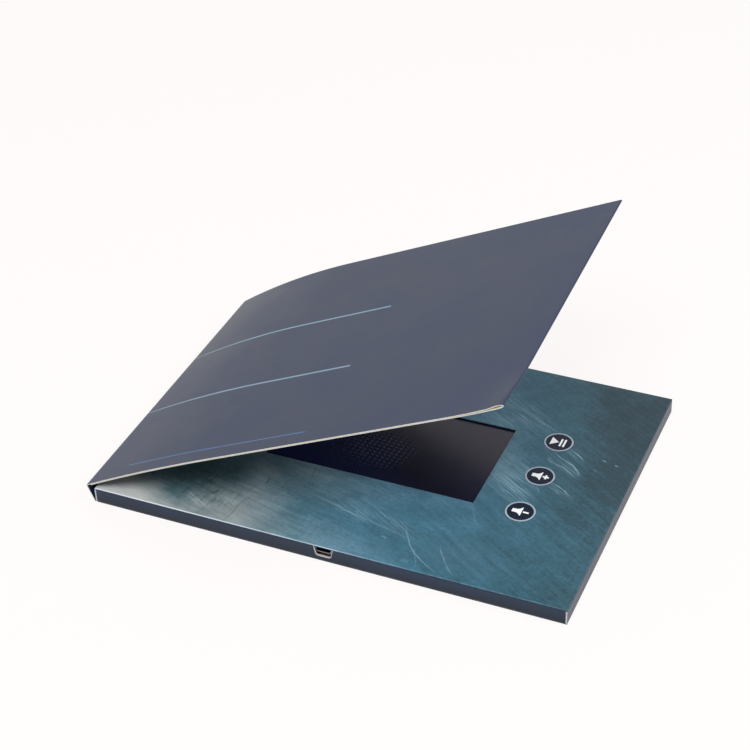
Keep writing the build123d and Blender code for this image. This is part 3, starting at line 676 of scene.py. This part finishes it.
def steel_print(name):
    """Teal scratched-steel picture printed on the face, under matt film, with painted light and a painted
    reflection in places.
    """
    material, tree, shader = new_finish(name, IOR=1.5, Specular_IOR_Level=0.2)
    place = add(tree, "TexCoord").outputs["Object"]

    def summed(start, terms):
        """start plus each (value, weight) in turn."""
        for value, weight in terms:
            start = add(tree, "Math MULTIPLY_ADD", value, weight, start)
        return start

    clouds = {size: add(tree, "TexNoise", {"Vector": place, "Scale": 1 / (size * MM),
                                           "Detail": detail, "Roughness": rough})
              for size, detail, rough in ((30, 4.0, 0.6), (15, 3.0, 0.6), (7, 4.0, 0.6),
                                          (1.6, 4.0, 0.6), (1.5, 6.0, 0.82))}  # by size in mm

    # Large tones: lighter towards the near and the spine side, slate at the far open corner.
    parts = add(tree, "SeparateXYZ", place)
    near_share = add(tree, "MapRange", parts.outputs["Y"], 50 * MM, -70 * MM)
    spine_share = add(tree, "MapRange", parts.outputs["X"], 98 * MM, -12 * MM)
    cloud, blotch, mottle = clouds[30], clouds[7], clouds[1.5]
    glow = spot(tree, place, (44.0, 22.0), 50.0, 84.0)
    tone = summed(-0.54, [(near_share, 0.2), (spine_share, 0.32), (glow, 0.5), (cloud, 0.32),
                          (blotch, 0.3), (mottle, 0.56)])
    paler_ink_and_sheen = 0.0
    # Painted light: the ovals lift the tone and pale the ink where the cover's shade falls.
    for middle, half_length, half_width, degrees, lighter, paler in tone_and_light_ovals:
        oval = spot(tree, place, middle, half_length, half_width, degrees)
        tone, paler_ink_and_sheen = summed(tone, [(oval, lighter)]), summed(paler_ink_and_sheen, [(oval, paler)])

    # Brushing: streaks at two angles, one near the spine side and one beyond the window.
    beyond = add(tree, "MapRange", parts.outputs["X"], 8 * MM, 52 * MM)
    shows = add(tree, "MapRange", clouds[15], 0.4, 0.66)
    sweeps = []
    for angle in (near_brush, far_brush):
        coarse = streaks(tree, place, angle, 24.0, 2.2, 0.35, 0.75, 5.0)
        fine = streaks(tree, place, angle + 0.06, 9.0, 0.5, 0.5, 0.8, 4.0)
        fine = add(tree, "Math MULTIPLY", fine, shows)
        coarse = add(tree, "Math MULTIPLY", coarse, 0.5)
        sweeps.append(summed(coarse, [(fine, 0.6)]))
    brushed = add(tree, "Mix", {0: beyond, 2: sweeps[0], 3: sweeps[1]})
    tone = summed(tone, [(brushed, 0.3)])
    teal = add(tree, "ValToRGB", tone, stops=[(0.0, paint("#23343d")), (0.2, paint("#2b434d")),
                                              (0.4, paint("#375a68")), (0.6, paint("#426c80")),
                                              (0.8, paint("#5b8498")), (1.0, paint("#7ea3b1"))])
    grey = add(tree, "ValToRGB", tone, stops=[(0.0, paint("#223435")), (0.3, paint("#3c5350")),
                                              (0.6, paint("#506c72")), (1.0, paint("#809399"))])
    side = add(tree, "MapRange", parts.outputs["X"], 10 * MM, -60 * MM)
    ink = add(tree, "Mix RGBA", {0: side, 6: teal, 7: grey})

    # Pale steel towards the near spine corner, in two clouds with a darker gap between: partly the print's own
    # pale tone, partly a painted reflection.
    corner = spot(tree, place, (-106.0, -78.0), 40.0, 26.0, 4.0)
    sheen = spot(tree, place, (-42.0, -70.0), 34.0, 34.0, 12.0)
    pale = summed(-0.3, [(corner, 2.6), (sheen, 0.66), (blotch, 0.25), (brushed, 0.3)])
    kept = add(tree, "MapRange", parts.outputs["X"], 2 * MM, -40 * MM)
    pale = add(tree, "Math MULTIPLY", pale, kept)
    pale = add(tree, "Math MAXIMUM", pale, 0.0)
    pale = add(tree, "Math ADD", pale, paler_ink_and_sheen, use_clamp=True)
    ink = add(tree, "Mix RGBA", {0: pale, 6: ink, 7: paint("#b9bcba")})

    # Scuffs: bundles of long bright scratches in soft ovals, over a soft glow of their own.
    light = 0.0
    bundle = streaks(tree, place, far_brush + 0.04, 15.0, 0.6, 0.48, 0.62, 4.0)
    own = summed(0.1, [(bundle, 1.45)])
    for middle, half_length, half_width, degrees, strength in scuffs:
        oval = spot(tree, place, middle, half_length, half_width, degrees)
        oval = add(tree, "Math MULTIPLY", oval, own)
        light = summed(light, [(oval, strength)])

    # Single scratches, whose places wander a little and whose ink is broken.
    wander = add(tree, "TexNoise", {"Vector": place, "Scale": 1 / (6 * MM), "Detail": 2.0})
    shifted = add(tree, "VectorMath SUBTRACT", wander.outputs["Color"], (0.5, 0.5, 0.5))
    shifted = add(tree, "VectorMath MULTIPLY_ADD", shifted, (1.6 * MM, 1.6 * MM, 0.0), place)
    lines_only = 0.0
    for start, end, bulge, width, strength in scratches:
        arc = scratch(tree, shifted, start, end, bulge, width)
        lines_only = summed(lines_only, [(arc, strength)])
    broken = add(tree, "MapRange", clouds[1.6], 0.34, 0.58, 0.45, 1.0)
    lines_only = add(tree, "Math MULTIPLY", lines_only, broken)
    light = summed(light, [(lines_only, 1.0)])

    light = add(tree, "Math MULTIPLY", light, 0.62, use_clamp=True)
    bright = add(tree, "Mix RGBA", {0: side, 6: paint("#85a9b8"), 7: paint("#bdc3c3")})
    ink = add(tree, "Mix RGBA", {0: light, 6: ink, 7: bright})

    # Dark strokes: short ones across the brushing near the spine, long faint ones elsewhere.
    strokes = streaks(tree, place, math.radians(82), 8.0, 2.0, 0.5, 0.72)
    where = spot(tree, place, (-58.0, -58.0), 26.0, 18.0)
    strokes = add(tree, "Math MULTIPLY", strokes, where)
    dark = streaks(tree, place, far_brush + 0.1, 12.0, 0.7, 0.55, 0.9)
    dark = summed(add(tree, "Math MULTIPLY", strokes, 0.8), [(dark, 0.3)])
    for start, end, bulge, width, strength in dark_scratches:
        arc = scratch(tree, shifted, start, end, bulge, width)
        dark = summed(dark, [(arc, strength)])
    dark = add(tree, "Math MULTIPLY", dark, 1.0, use_clamp=True)
    ink = add(tree, "Mix RGBA", {0: dark, 6: ink, 7: paint("#19323a")})

    # Worn fold: the film is white where it is stretched, and a painted highlight along the fold makes the line
    # brightest and palest towards the spine.
    bend = add(tree, "Attribute", attribute_name="bend").outputs["Fac"]
    crack = add(tree, "TexNoise", {"Vector": place, "Scale": 1 / (2.4 * MM), "Detail": 5.0})
    towards = add(tree, "MapRange", parts.outputs["X"], -75 * MM, 45 * MM)
    weight = add(tree, "MapRange", {0: towards, 3: 1.1, 4: 0.36})
    wear_and_highlight = summed(add(tree, "Math MULTIPLY", bend, weight), [(crack, 0.5)])
    wear_and_highlight = add(tree, "MapRange", wear_and_highlight, 0.5, 0.85)
    kept = add(tree, "MapRange", parts.outputs["X"], 97 * MM, 103 * MM, 1.0, 0.35)
    wear_and_highlight = add(tree, "Math MULTIPLY", wear_and_highlight, kept)
    white = add(tree, "ValToRGB", towards,
                stops=[(0.0, paint("#cbccd4")), (0.45, paint("#a6b7c1")), (1.0, paint("#7291a3"))])
    ink = add(tree, "Mix RGBA", {0: wear_and_highlight, 6: ink, 7: white})
    navy = add(tree, "Attribute", attribute_name="turn_down").outputs["Fac"]
    ink = add(tree, "Mix RGBA", {0: navy, 6: ink, 7: paint("#122033")})

    rough = add(tree, "MapRange", {0: light, 3: 0.42, 4: 0.5})
    join(tree, shader, ink, rough, film_relief(tree, place))
    return material


face_print = steel_print("matt laminated scratched-steel print")

# %% Face card with its window and button holes
fold_radius = 0.6
window_low = np.array([-48.0, -25.7])
window_high = np.array([48.0, 27.7])
button_radius, button_gap = 6.5, 0.05
hole_middle, half_top = 1.3, 4.1  # of the port's opening, at the top of the near wall
button_at = {}
for key in ("play", "volume_up", "volume_down"):
    low, high = box(f"{key}_button")
    button_at[key] = (low + high)[:2] / 2
patch, patch_cells = 8.0, 16  # half side of the square round a hole, quads along it


def folded(low, high, marks):
    """Places, drops and fold shares along one direction of the face, folds included."""
    turn = np.linspace(math.pi / 2, 0, 6)
    flat = lines(low + fold_radius, high - fold_radius, 4.0, marks)
    start = low + fold_radius - fold_radius * np.sin(turn)
    end = (high - fold_radius + fold_radius * np.sin(turn))[::-1]
    drop = fold_radius * (1 - np.cos(turn))
    share = turn / (math.pi / 2)
    none = np.zeros(len(flat) - 2)
    return (np.concatenate([start, flat[1:-1], end]), np.concatenate([drop, none, drop[::-1]]),
            np.concatenate([share, none, share[::-1]]))


hole_centres = np.array(list(button_at.values()))
x_marks = [*window_low[:1], *window_high[:1],
           *np.linspace(hole_centres[0][0] - patch, hole_centres[0][0] + patch, patch_cells + 1)]
y_marks = [window_low[1], window_high[1],
           *np.concatenate([np.linspace(c[1] - patch, c[1] + patch, patch_cells + 1)
                            for c in hole_centres])]
xs, x_drop, x_bend = folded(x_spine, x_open, x_marks)
ys, y_drop, y_bend = folded(y_near, y_far, y_marks)
drop = np.maximum(x_drop[:, None], y_drop)
grid = np.stack([*np.broadcast_arrays(xs[:, None], ys, face_top - drop)], -1)
bend = np.maximum(x_bend[:, None], y_bend)
cells = quads(len(xs), len(ys))
centre = grid.reshape(-1, 3)[cells].mean(1)[:, :2]
in_window = np.all((centre > window_low) & (centre < window_high), axis=1)
in_patch = np.any([np.all(abs(centre - c) < patch, axis=1) for c in hole_centres], axis=0)
faces = [cells[~(in_window | in_patch)]]
points, bends = [grid.reshape(-1, 3)], [bend.ravel()]


def ring_patch(middle, radius, half, cells):
    """Quads between a square of this half side and a round hole, walked round once.

    Point k of the square goes straight to the point of the circle at the same share of a
    full turn, and the rows between them close in on the hole.
    """
    side = np.linspace(-half, half, cells + 1)[:-1]
    edge = np.full(cells, half)
    square = np.concatenate([np.stack([side, -edge], -1), np.stack([edge, side], -1),
                             np.stack([-side, edge], -1), np.stack([-edge, -side], -1)])
    angle = 2 * np.pi * np.arange(4 * cells) / (4 * cells) - 3 * np.pi / 4
    circle = radius * np.stack([np.cos(angle), np.sin(angle)], -1)
    shares = np.array([0.0, 0.35, 0.65, 0.85, 1.0])[:, None, None]
    rows = square + (circle - square) * shares + middle
    closed = np.concatenate([rows, rows[:, :1]], axis=1)
    return np.concatenate([closed, np.full((*closed.shape[:2], 1), face_top)], -1)


for middle in hole_centres:
    ring = ring_patch(middle, button_radius + button_gap, patch, patch_cells)
    faces.append(quads(*ring.shape[:2], sum(len(p) for p in points))[:, ::-1])
    points.append(ring.reshape(-1, 3))
    bends.append(np.zeros(ring.shape[0] * ring.shape[1]))


def merged(points, faces, *marks):
    """Points that fall together become one, and the faces and marks follow them."""
    _, first, number = np.unique(np.round(points, 4), axis=0, return_index=True,
                                 return_inverse=True)
    faces = number.ravel()[faces]
    used, faces = np.unique(faces, return_inverse=True)
    keep = first[used]
    return points[keep], faces.reshape(-1, 4), *(m[keep] for m in marks)


points, faces, bends = merged(*(np.concatenate(parts) for parts in (points, faces, bends)))
# The fold line's mark: worn film with a painted highlight, most worn over the port.
wear_and_highlight = np.clip(1 - abs(bends - 0.45) / 0.5, 0, 1)
over_port = abs(points[:, 0] - hole_middle) < half_top + 0.5
over_port &= points[:, 1] < y_near + fold_radius
wear_and_highlight = np.where(over_port & (bends > 0.2), 2.0, wear_and_highlight)
turn_down = np.clip((bends - 0.6) / 0.2, 0, 1)
face = piece("printed_face", points, faces.tolist(), [face_print, board_back, shaded_face_edge],
             bend=wear_and_highlight, turn_down=turn_down)
thicken(face, face_top - ceiling - 0.05)
soften(face, 0.08, 60)
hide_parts("face_sheet")

# %% [markdown]
# ## Walls of the tray
# Each wall is a strip of the same board. The side walls run the full depth, so their cut
# ends stand as pale upright strips at both ends of the near wall. The near wall has a
# punched opening for the port, whose cut edge shows all round.

# %% Plain walls
wall_top = face_top - fold_radius
side_wall = 0.64  # thickness of the side strips, whose ends show
wall_zs = lines(sheet + 0.02, wall_top, 1.6)


def wall_card(name, start, end, node):
    """An upright strip from start to end (x, y), its print side to the right of the way."""
    start, end = np.array(start, float), np.array(end, float)
    way = end - start
    length = np.linalg.norm(way)
    inward = np.array([-way[1], way[0]]) / length * side_wall
    run = start + lines(0.0, 1.0, 6.0 / length)[:, None] * way
    sides = []
    for line in (run, run + inward):
        grid = np.empty((len(run), len(wall_zs), 3))
        grid[..., :2], grid[..., 2] = line[:, None], wall_zs
        sides.append(grid)
    made = card(name, *sides, [side_print_lit, board_back, white_edge], bevel=0.06)
    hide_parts(node)
    return made


# One navy ink in two copies: painted darker on the near wall, painted shade, and lighter on the side walls,
# painted light.
near_print_shaded = laminated_print("matt laminated near wall print", "#101f34", "#15253b", "#abaeb3",
                             foot_shade=0.42, gloss=0.36)
side_print_lit = laminated_print("matt laminated side wall print", "#19283d", "#203147", "#7a7f88",
                             foot_shade=0.7, gloss=0.5)
wall_card("open_side_strip", (x_open, y_near), (x_open, y_far), "open_side_wall")
wall_card("spine_side_strip", (x_spine, y_far), (x_spine, y_near), "spine_side_wall")
wall_card("far_strip", (x_open - side_wall, y_far), (x_spine + side_wall, y_far), "far_wall")

# %% Near wall with the port's opening
sill, half_sill, hole_round = 2.45, 3.15, 0.6
run_steps, hole_cells = 33, 8  # grid lines beside the opening, and cells across it
hole_left = run_steps + 2  # number of the line at the opening's left side
above = np.array([0.0, 0.06, 0.15, 0.3, 0.45, 0.6])
zs = np.concatenate([lines(sheet + 0.02, sill, 0.7, (sill - 0.34, sill - 0.24))[:-1], sill + above,
                     lines(sill + 0.6, wall_top, 0.7)[1:]])
half = np.interp(zs, (sill, wall_top), (half_sill, half_top))
round_in = np.clip(hole_round - (zs - sill), 0, hole_round)
half = half - (hole_round - np.sqrt(hole_round**2 - round_in**2))
left, right = hole_middle - half, hole_middle + half
hole_share, worn_rim = np.linspace(0, 1, hole_cells + 1)[1:-1, None], 0.34
x_low, x_high = x_spine + side_wall, x_open - side_wall
run_in = np.linspace(0, 1, run_steps)[:, None]
rim_in = left - worn_rim * np.array([0.9, 0.6, 0.0])[:, None]
rim_out = right + worn_rim * np.array([0.0, 0.6, 0.9])[:, None]
xs = np.concatenate([x_low + (left - worn_rim - x_low) * run_in, rim_in,
                     left + (right - left) * hole_share, rim_out,
                     right + worn_rim + (x_high - right - worn_rim) * run_in])
worn = np.zeros_like(xs)
worn[hole_left - 1:hole_left + hole_cells + 2] = 1.0
worn *= np.clip((zs - sill + worn_rim) / 0.1, 0, 1)
grid = np.stack([xs, np.full_like(xs, y_near), np.broadcast_to(zs, xs.shape)], -1)
cells = quads(*grid.shape[:2])
centre = grid.reshape(-1, 3)[cells].mean(1)
column = cells[:, 0] // grid.shape[1]
in_hole = (column >= hole_left) & (column < hole_left + hole_cells) & (centre[:, 2] > sill)
near_strip = piece("near_strip", grid, cells[~in_hole].tolist(),
                   [near_print_shaded, board_back, white_edge], worn=worn)
thicken(near_strip, wall)
soften(near_strip, 0.06, 60)
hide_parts("near_wall")

# %% [markdown]
# ## Press buttons
# A button is a disc cut free in the face card: navy ink, a silver ring and a white
# symbol. The disc is a profile turned about its axis, and the symbol is a thin layer of
# ink on it, cut as a polygon: a triangle and two bars, a loudspeaker with a plus, and a
# loudspeaker with a minus.

# %% Inks
def ink_film(name, dark, light, rough, gloss=0.18):
    """Printed ink under film: fine mottling in colour and gloss."""
    material, tree, shader = new_finish(name, IOR=1.5, Specular_IOR_Level=gloss)
    place = add(tree, "TexCoord").outputs["Object"]
    mottle = add(tree, "TexNoise", {"Vector": place, "Scale": 1 / (1.2 * MM), "Detail": 5.0})
    ink = add(tree, "ValToRGB", mottle, stops=[(0.3, paint(dark)), (0.7, paint(light))])
    gloss = add(tree, "MapRange", {0: mottle, 3: rough - 0.05, 4: rough + 0.05})
    join(tree, shader, ink, gloss, film_relief(tree, place))
    return material


disc_ink = ink_film("navy button ink under film", "#0c172a", "#121f33", 0.42)
ring_ink = ink_film("silver-blue ring ink", "#99a7b5", "#b0bdc6", 0.4)
symbol_ink = ink_film("white symbol ink", "#fafafa", "#ffffff", 0.45, gloss=0.5)

# %% Discs and symbols
ring_inner, ring_outer = 5.62, 6.44
symbol_lift = 0.02
speaker_shape = [(-3.55, -1.05), (-1.75, -1.05), (-0.9, -1.35), (-0.2, -1.9), (0.35, -2.7),
                 (0.62, -2.7), (0.62, 2.7), (0.35, 2.7), (-0.2, 1.9), (-0.9, 1.35),
                 (-1.75, 1.05), (-3.55, 1.05)]
bar, arm, plus_at = 0.46, 1.38, 2.55
plus_shape = [(-arm, -bar), (-bar, -bar), (-bar, -arm), (bar, -arm), (bar, -bar), (arm, -bar),
              (arm, bar), (bar, bar), (bar, arm), (-bar, arm), (-bar, bar), (-arm, bar)]
symbols = {
    "play": [[(-3.5, -2.65), (0.05, 0.0), (-3.5, 2.65)],
             [(0.55, -2.6), (1.4, -2.6), (1.4, 2.6), (0.55, 2.6)],
             [(2.15, -2.6), (3.0, -2.6), (3.0, 2.6), (2.15, 2.6)]],
    "volume_up": [speaker_shape, [(x + plus_at, y) for x, y in plus_shape]],
    "volume_down": [speaker_shape, [(1.15, -bar), (3.65, -bar), (3.65, bar), (1.15, bar)]],
}


def stamped(outline, base, top, first):
    """Points and faces of a flat shape between two heights: a cap, sides and a back."""
    outline = np.array(outline)
    n = len(outline)
    points = np.concatenate([np.c_[outline, np.full(n, top)], np.c_[outline, np.full(n, base)]])
    ring = np.arange(n)
    after = np.roll(ring, -1)
    sides = np.stack([ring, ring + n, after + n, after], -1) + first
    return points, [(ring + first).tolist(), *sides.tolist(), (ring[::-1] + n + first).tolist()]


spokes = 96  # points round a disc


def button_disc(key):
    """A disc turned from a profile of (radius, height), with its symbol stamped on it."""
    edge = 0.12
    turn = np.linspace(0, math.pi / 2, 4)
    rounded = button_radius - edge + edge * np.sin(turn)
    radii = np.array([0.8, 3.0, 5.0, ring_inner, ring_outer, *rounded, button_radius])
    heights = np.array([face_top] * 5 + [*(face_top - edge + edge * np.cos(turn)), ceiling])
    angle = 2 * np.pi * np.arange(spokes) / spokes
    around = np.stack([np.cos(angle), np.sin(angle)], -1)
    count = len(radii)
    raised = np.broadcast_to(heights[:, None, None], (count, spokes, 1))
    rings = np.concatenate([radii[:, None, None] * around, raised], -1)
    number = np.arange(count)[:, None] * spokes + np.arange(spokes)
    after = np.roll(number, -1, axis=1)
    walls = np.stack([number[:-1], number[1:], after[1:], after[:-1]], -1)
    faces = walls.reshape(-1, 4).tolist()
    band = np.zeros(count - 1, int)
    band[3] = 1  # the ring, from ring_inner to ring_outer
    slots = np.repeat(band, spokes).tolist()
    faces += [number[0].tolist(), number[-1][::-1].tolist()]
    slots += [0, 0]
    points = [rings.reshape(-1, 3)]
    for outline in symbols[key]:
        more, caps = stamped(outline, face_top - 0.1, face_top + symbol_lift,
                             sum(len(p) for p in points))
        points.append(more)
        faces += caps
        slots += [2] * len(caps)
    points = np.concatenate(points)
    points[:, :2] += button_at[key]
    inks = [disc_ink, ring_ink, symbol_ink]
    made = piece(f"{key}_disc", points, faces, inks, slots, f"{key}_key")
    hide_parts(f"{key}_button")


for key in symbols:
    button_disc(key)

# %% [markdown]
# ## Display
# The display sits 0.4 mm behind the window on a black foam frame. Switched off it is a
# dark sheet of glass under a polariser film, which is smooth but not a mirror. Its colour
# carries a painted reflection, navy to violet-black across it, and a faint lattice of dots
# over its middle is painted glints of the lamp, spread by the pixel grid.

# %% Display glass
def display_glass(name):
    """Dark polariser over glass with a painted reflection, navy to violet-black, and a lattice of faint dots
    painted as the lamp's glints.
    """
    material, tree, shader = new_finish(name, IOR=1.5, Roughness=0.24, Specular_IOR_Level=0.37)
    place = add(tree, "TexCoord").outputs["Object"]
    # Painted reflection: navy to violet-black across the glass.
    painted_reflection = add(tree, "Mapping", {"Vector": place, "Location": (-45 * MM, -26 * MM, 0),
                                 "Rotation": (0, 0, math.radians(50)),
                                 "Scale": (98 * MM, 1.0, 1.0)}, vector_type="TEXTURE")
    painted_reflection = add(tree, "TexGradient", painted_reflection).outputs[1]
    colour = add(tree, "ValToRGB", painted_reflection, stops=[(0.05, paint("#181e47")), (0.3, paint("#0d1535")),
                                                (0.5, paint("#070619")), (0.7, paint("#0d0e27")),
                                                (1.0, paint("#231e33"))])
    # Painted glints: a lattice of faint dots over the middle of the glass.
    pitch = add(tree, "Mapping", {"Vector": place, "Rotation": (0, 0, math.radians(-5)),
                                  "Scale": (2.35 * MM, 2.2 * MM, 1.0)}, vector_type="TEXTURE")
    cell = add(tree, "VectorMath FRACTION", pitch)
    cell = add(tree, "VectorMath SUBTRACT", cell, (0.5, 0.5, 0.0))
    flat = add(tree, "VectorMath MULTIPLY", cell, (1.0, 1.0, 0.0))
    away = add(tree, "VectorMath LENGTH", flat)
    painted_glint_dot = add(tree, "MapRange", away, 0.36, 0.05)
    shown = add(tree, "Mapping", {"Vector": place, "Location": (-3 * MM, -4 * MM, 0.0),
                                  "Scale": (18 * MM, 15 * MM, 1.0)}, vector_type="TEXTURE")
    shown = add(tree, "TexGradient", shown, gradient_type="SPHERICAL").outputs[1]
    shown = add(tree, "MapRange", {0: shown, 1: 0.0, 2: 0.5, 4: 0.7})
    painted_glint_dot = add(tree, "Math MULTIPLY", painted_glint_dot, shown)
    colour = add(tree, "Mix RGBA", {0: painted_glint_dot, 6: colour, 7: paint("#4d5480")})
    dust = add(tree, "TexNoise", {"Vector": place, "Scale": 1 / (6 * MM), "Detail": 6.0})
    rough = add(tree, "MapRange", dust, 0.3, 0.7, 0.24, 0.27)
    join(tree, shader, colour, rough)
    return material


# %% [markdown]
# ## Finishes of the carried-over parts
# The parts inside keep the model's own meshes. Each material slot of the record gets a
# finish with its own tone, grain and gloss, made by one recipe of two noises.

# %% Carried-over parts
def worked_finish(name, dark, light, grain, rough, metallic=0.0, stretch=(1, 1, 1), relief=0.02,
                  mouth=None):
    """Two tones mixed by noise of this grain in mm, stretched by the way it was worked.

    With a mouth, a place along y, it darkens over the first half millimetre beyond it: painted shade inside an
    opening.
    """
    sockets = {"Metallic": metallic} if metallic else {"IOR": 1.5}
    material, tree, shader = new_finish(name, **sockets)
    place = add(tree, "TexCoord").outputs["Object"]
    sized = add(tree, "Mapping", {"Vector": place, "Scale": tuple(grain * s * MM for s in stretch)},
                vector_type="TEXTURE")
    fine = add(tree, "TexNoise", {"Vector": sized, "Scale": 1.0, "Detail": 5.0})
    broad = add(tree, "TexNoise", {"Vector": sized, "Scale": 0.12, "Detail": 3.0})
    both = add(tree, "Math ADD", fine, broad)
    tone = add(tree, "MapRange", both, 0.75, 1.25)
    colour = add(tree, "ValToRGB", tone, stops=[(0.0, paint(dark)), (1.0, paint(light))])
    if mouth is not None:
        # Painted shade: near black inside, beyond the mouth.
        depth = add(tree, "SeparateXYZ", place).outputs["Y"]
        painted_shade_inside = add(tree, "MapRange", depth, (mouth + 0.1) * MM, (mouth + 0.5) * MM)
        colour = add(tree, "Mix RGBA", {0: painted_shade_inside, 6: colour, 7: paint("#0d0b0b")})
    gloss = add(tree, "MapRange", broad, 0.3, 0.7, rough * 0.85, min(1.0, rough * 1.15))
    bump = add(tree, "Bump", {"Strength": 0.4, "Distance": relief * MM, "Height": fine})
    join(tree, shader, colour, gloss, bump)
    return material


finishes = {
    "display_glass": display_glass("switched-off display under polariser"),
    "grey_board": worked_finish("recycled grey board", "#6d6b64", "#8a877e", 0.6, 0.9, relief=0.05),
    "black_foam": worked_finish("black closed-cell foam tape", "#0b0b0c", "#18181a", 0.35, 0.85,
                                relief=0.08),
    "grey_foam": worked_finish("grey foam pad", "#3b3b3d", "#505053", 0.5, 0.9, relief=0.1),
    "light_guide": worked_finish("clear acrylic with white film", "#d9dbdf", "#eceef0", 4.0, 0.2),
    "pressed_steel": worked_finish("tin-plated pressed steel", "#a79891", "#c1b7b0", 0.4, 0.5, 0.6,
                                   (8, 1, 1), 0.005),
    "magnet_nickel": worked_finish("nickel-plated magnet", "#a9a59c", "#c9c6be", 1.0, 0.18, 1.0),
    "polyimide_flex": worked_finish("polyimide flexible circuit", "#8a4b12", "#b0701f", 1.5, 0.35),
    "circuit_board": worked_finish("black solder mask on glass epoxy", "#0d1110", "#191e1c", 0.4,
                                   0.35, stretch=(1, 6, 1)),
    "chip_black": worked_finish("moulded epoxy package", "#131315", "#222224", 0.12, 0.55),
    "crystal_can": worked_finish("drawn nickel-silver can", "#a5a29a", "#c8c5bd", 0.5, 0.3, 1.0),
    "capacitor_ceramic": worked_finish("barium titanate ceramic", "#6f5236", "#8d6d4b", 0.3, 0.5),
    "connector_plastic": worked_finish("moulded nylon insulator", "#242528", "#343439", 0.2, 0.5),
    "contact_gold": worked_finish("gold-plated contact", "#b98d3a", "#d9b35c", 0.3, 0.22, 1.0),
    "battery_foil": worked_finish("aluminium laminate pouch", "#b3b5b8", "#d2d4d6", 2.0, 0.35, 1.0,
                                  relief=0.06),
    "wire_red": worked_finish("red PVC insulation", "#7d0f12", "#a3181b", 0.4, 0.45),
    "wire_black": worked_finish("black PVC insulation", "#111112", "#1e1e20", 0.4, 0.45),
    "speaker_plastic": worked_finish("moulded ABS frame", "#1a1a1c", "#29292b", 0.25, 0.5),
    "speaker_paper": worked_finish("pressed paper cone", "#1f1e1c", "#33312e", 0.5, 0.85,
                                   relief=0.05),
    "switch_plastic": worked_finish("moulded LCP switch body", "#1b1b1d", "#2b2b2d", 0.2, 0.5),
    "plunger_plastic": worked_finish("moulded acetal plunger", "#b9b8b2", "#cfcec8", 0.2, 0.4),
}
# The port's shell carries painted shade inside its mouth.
port_mouth = box("usb_shell")[0][1]
shaded_port_shell = worked_finish("tin-plated port shell", "#a79891", "#c1b7b0", 0.4, 0.5, 0.6, (8, 1, 1),
                           0.005, mouth=port_mouth)
for part in frame["record"]["subparts"]:
    if part["material_slot"] in finishes:
        slots = frame["nodes"][part["node"]].data.materials
        slots.clear()
        slots.append(shaded_port_shell if part["node"] == "usb_shell" else finishes[part["material_slot"]])
print(len(finishes), "finishes for the parts inside")

# %% [markdown]
# ## Studio
# A pale floor and an even, bright surround. The surround is white to the camera, to
# reflections and through glass, and gives a plain level of light otherwise. A large soft
# lamp in front and above is the main one, and a weaker one on the open side sets the
# tones of the walls apart. At this level a colour on the face renders about as written.

# %% Floor and surround
paper_white = (0.985, 0.956, 0.947, 1.0)


def seen_directly(tree):
    """1 for camera, glossy and transmission rays, 0 for the rays that carry light."""
    ray = add(tree, "LightPath")
    both = add(tree, "Math MAXIMUM", ray.outputs["Is Camera Ray"], ray.outputs["Is Glossy Ray"])
    return add(tree, "Math MAXIMUM", both, ray.outputs["Is Transmission Ray"])


world = bpy.data.worlds.new("surround")
bpy.context.scene.world = world
world.use_nodes = True
tree = world.node_tree
shown = add(tree, "Background", {"Color": paper_white, "Strength": 1.0})
lighting = add(tree, "Background", {"Color": (0.98, 0.99, 1.0, 1.0), "Strength": 0.515})
mixed = add(tree, "MixShader", seen_directly(tree), lighting, shown)
tree.links.new(output(mixed), tree.nodes["World Output"].inputs[0])

floor_material = bpy.data.materials.new("white paper floor")
floor_material.use_nodes = True
tree = floor_material.node_tree
tree.nodes.remove(tree.nodes["Principled BSDF"])
place = add(tree, "TexCoord").outputs["Object"]
fibre = add(tree, "TexNoise", {"Vector": place, "Scale": 1 / (40 * MM), "Detail": 3.0})
tone = add(tree, "MapRange", {0: fibre, 3: 0.93, 4: 0.95})
paper = add(tree, "BsdfDiffuse", {"Color": tone})
glow = add(tree, "Emission", {"Color": paper_white, "Strength": 1.0})
lit = add(tree, "MixShader", 0.91, paper, glow)
mixed = add(tree, "MixShader", seen_directly(tree), paper, lit)
tree.links.new(output(mixed), tree.nodes["Material Output"].inputs[0])
reach = 6000.0
corners = np.array([(-reach, -reach), (reach, -reach), (reach, reach), (-reach, reach)])
floor = piece("floor", np.c_[corners, np.full(4, -0.05)], [(0, 1, 2, 3)], [floor_material],
              body=None)


# %% Lamps
def soft_lamp(name, place, aim, width, power):
    """A square area lamp at a place, pointing at an aim, both in mm."""
    data = bpy.data.lights.new(name, "AREA")
    data.shape = "SQUARE"
    data.size = width * MM
    data.energy = power
    lamp = bpy.data.objects.new(name, data)
    bpy.context.scene.collection.objects.link(lamp)
    lamp.location = Vector(place) * MM
    lamp.rotation_euler = (Vector(aim) - Vector(place)).to_track_quat("-Z", "Y").to_euler()
    return lamp


soft_lamp("front softbox", (100, -980, 1380), (0, 0, 0), 650, 22.2)
soft_lamp("open side softbox", (950, 260, 940), (60, 20, 0), 500, 6.6)

# %% [markdown]
# ## Camera
# The camera stands high and to the right of the near side, with a long lens, and is
# turned a little about its own axis.

# %% Camera
camera_place = (258.542, -587.189, 500.602)
camera_aim = (-30.132, 53.228, 0.0)
camera_turn = 2.072  # degrees, clockwise as the picture is seen
data = bpy.data.cameras.new("camera")
data.lens, data.sensor_width, data.sensor_fit = 89.456, 36.0, "HORIZONTAL"
data.clip_start, data.clip_end = 0.01, 50.0
camera = bpy.data.objects.new("camera", data)
bpy.context.scene.collection.objects.link(camera)
camera.location = Vector(camera_place) * MM
aim = (Vector(camera_aim) - Vector(camera_place)).to_track_quat("-Z", "Y").to_matrix()
turn = math.radians(camera_turn)
camera.rotation_euler = (aim @ Matrix.Rotation(-turn, 3, "Z")).to_euler()
bpy.context.scene.camera = camera
bpy.context.scene.view_settings.view_transform = "Standard"
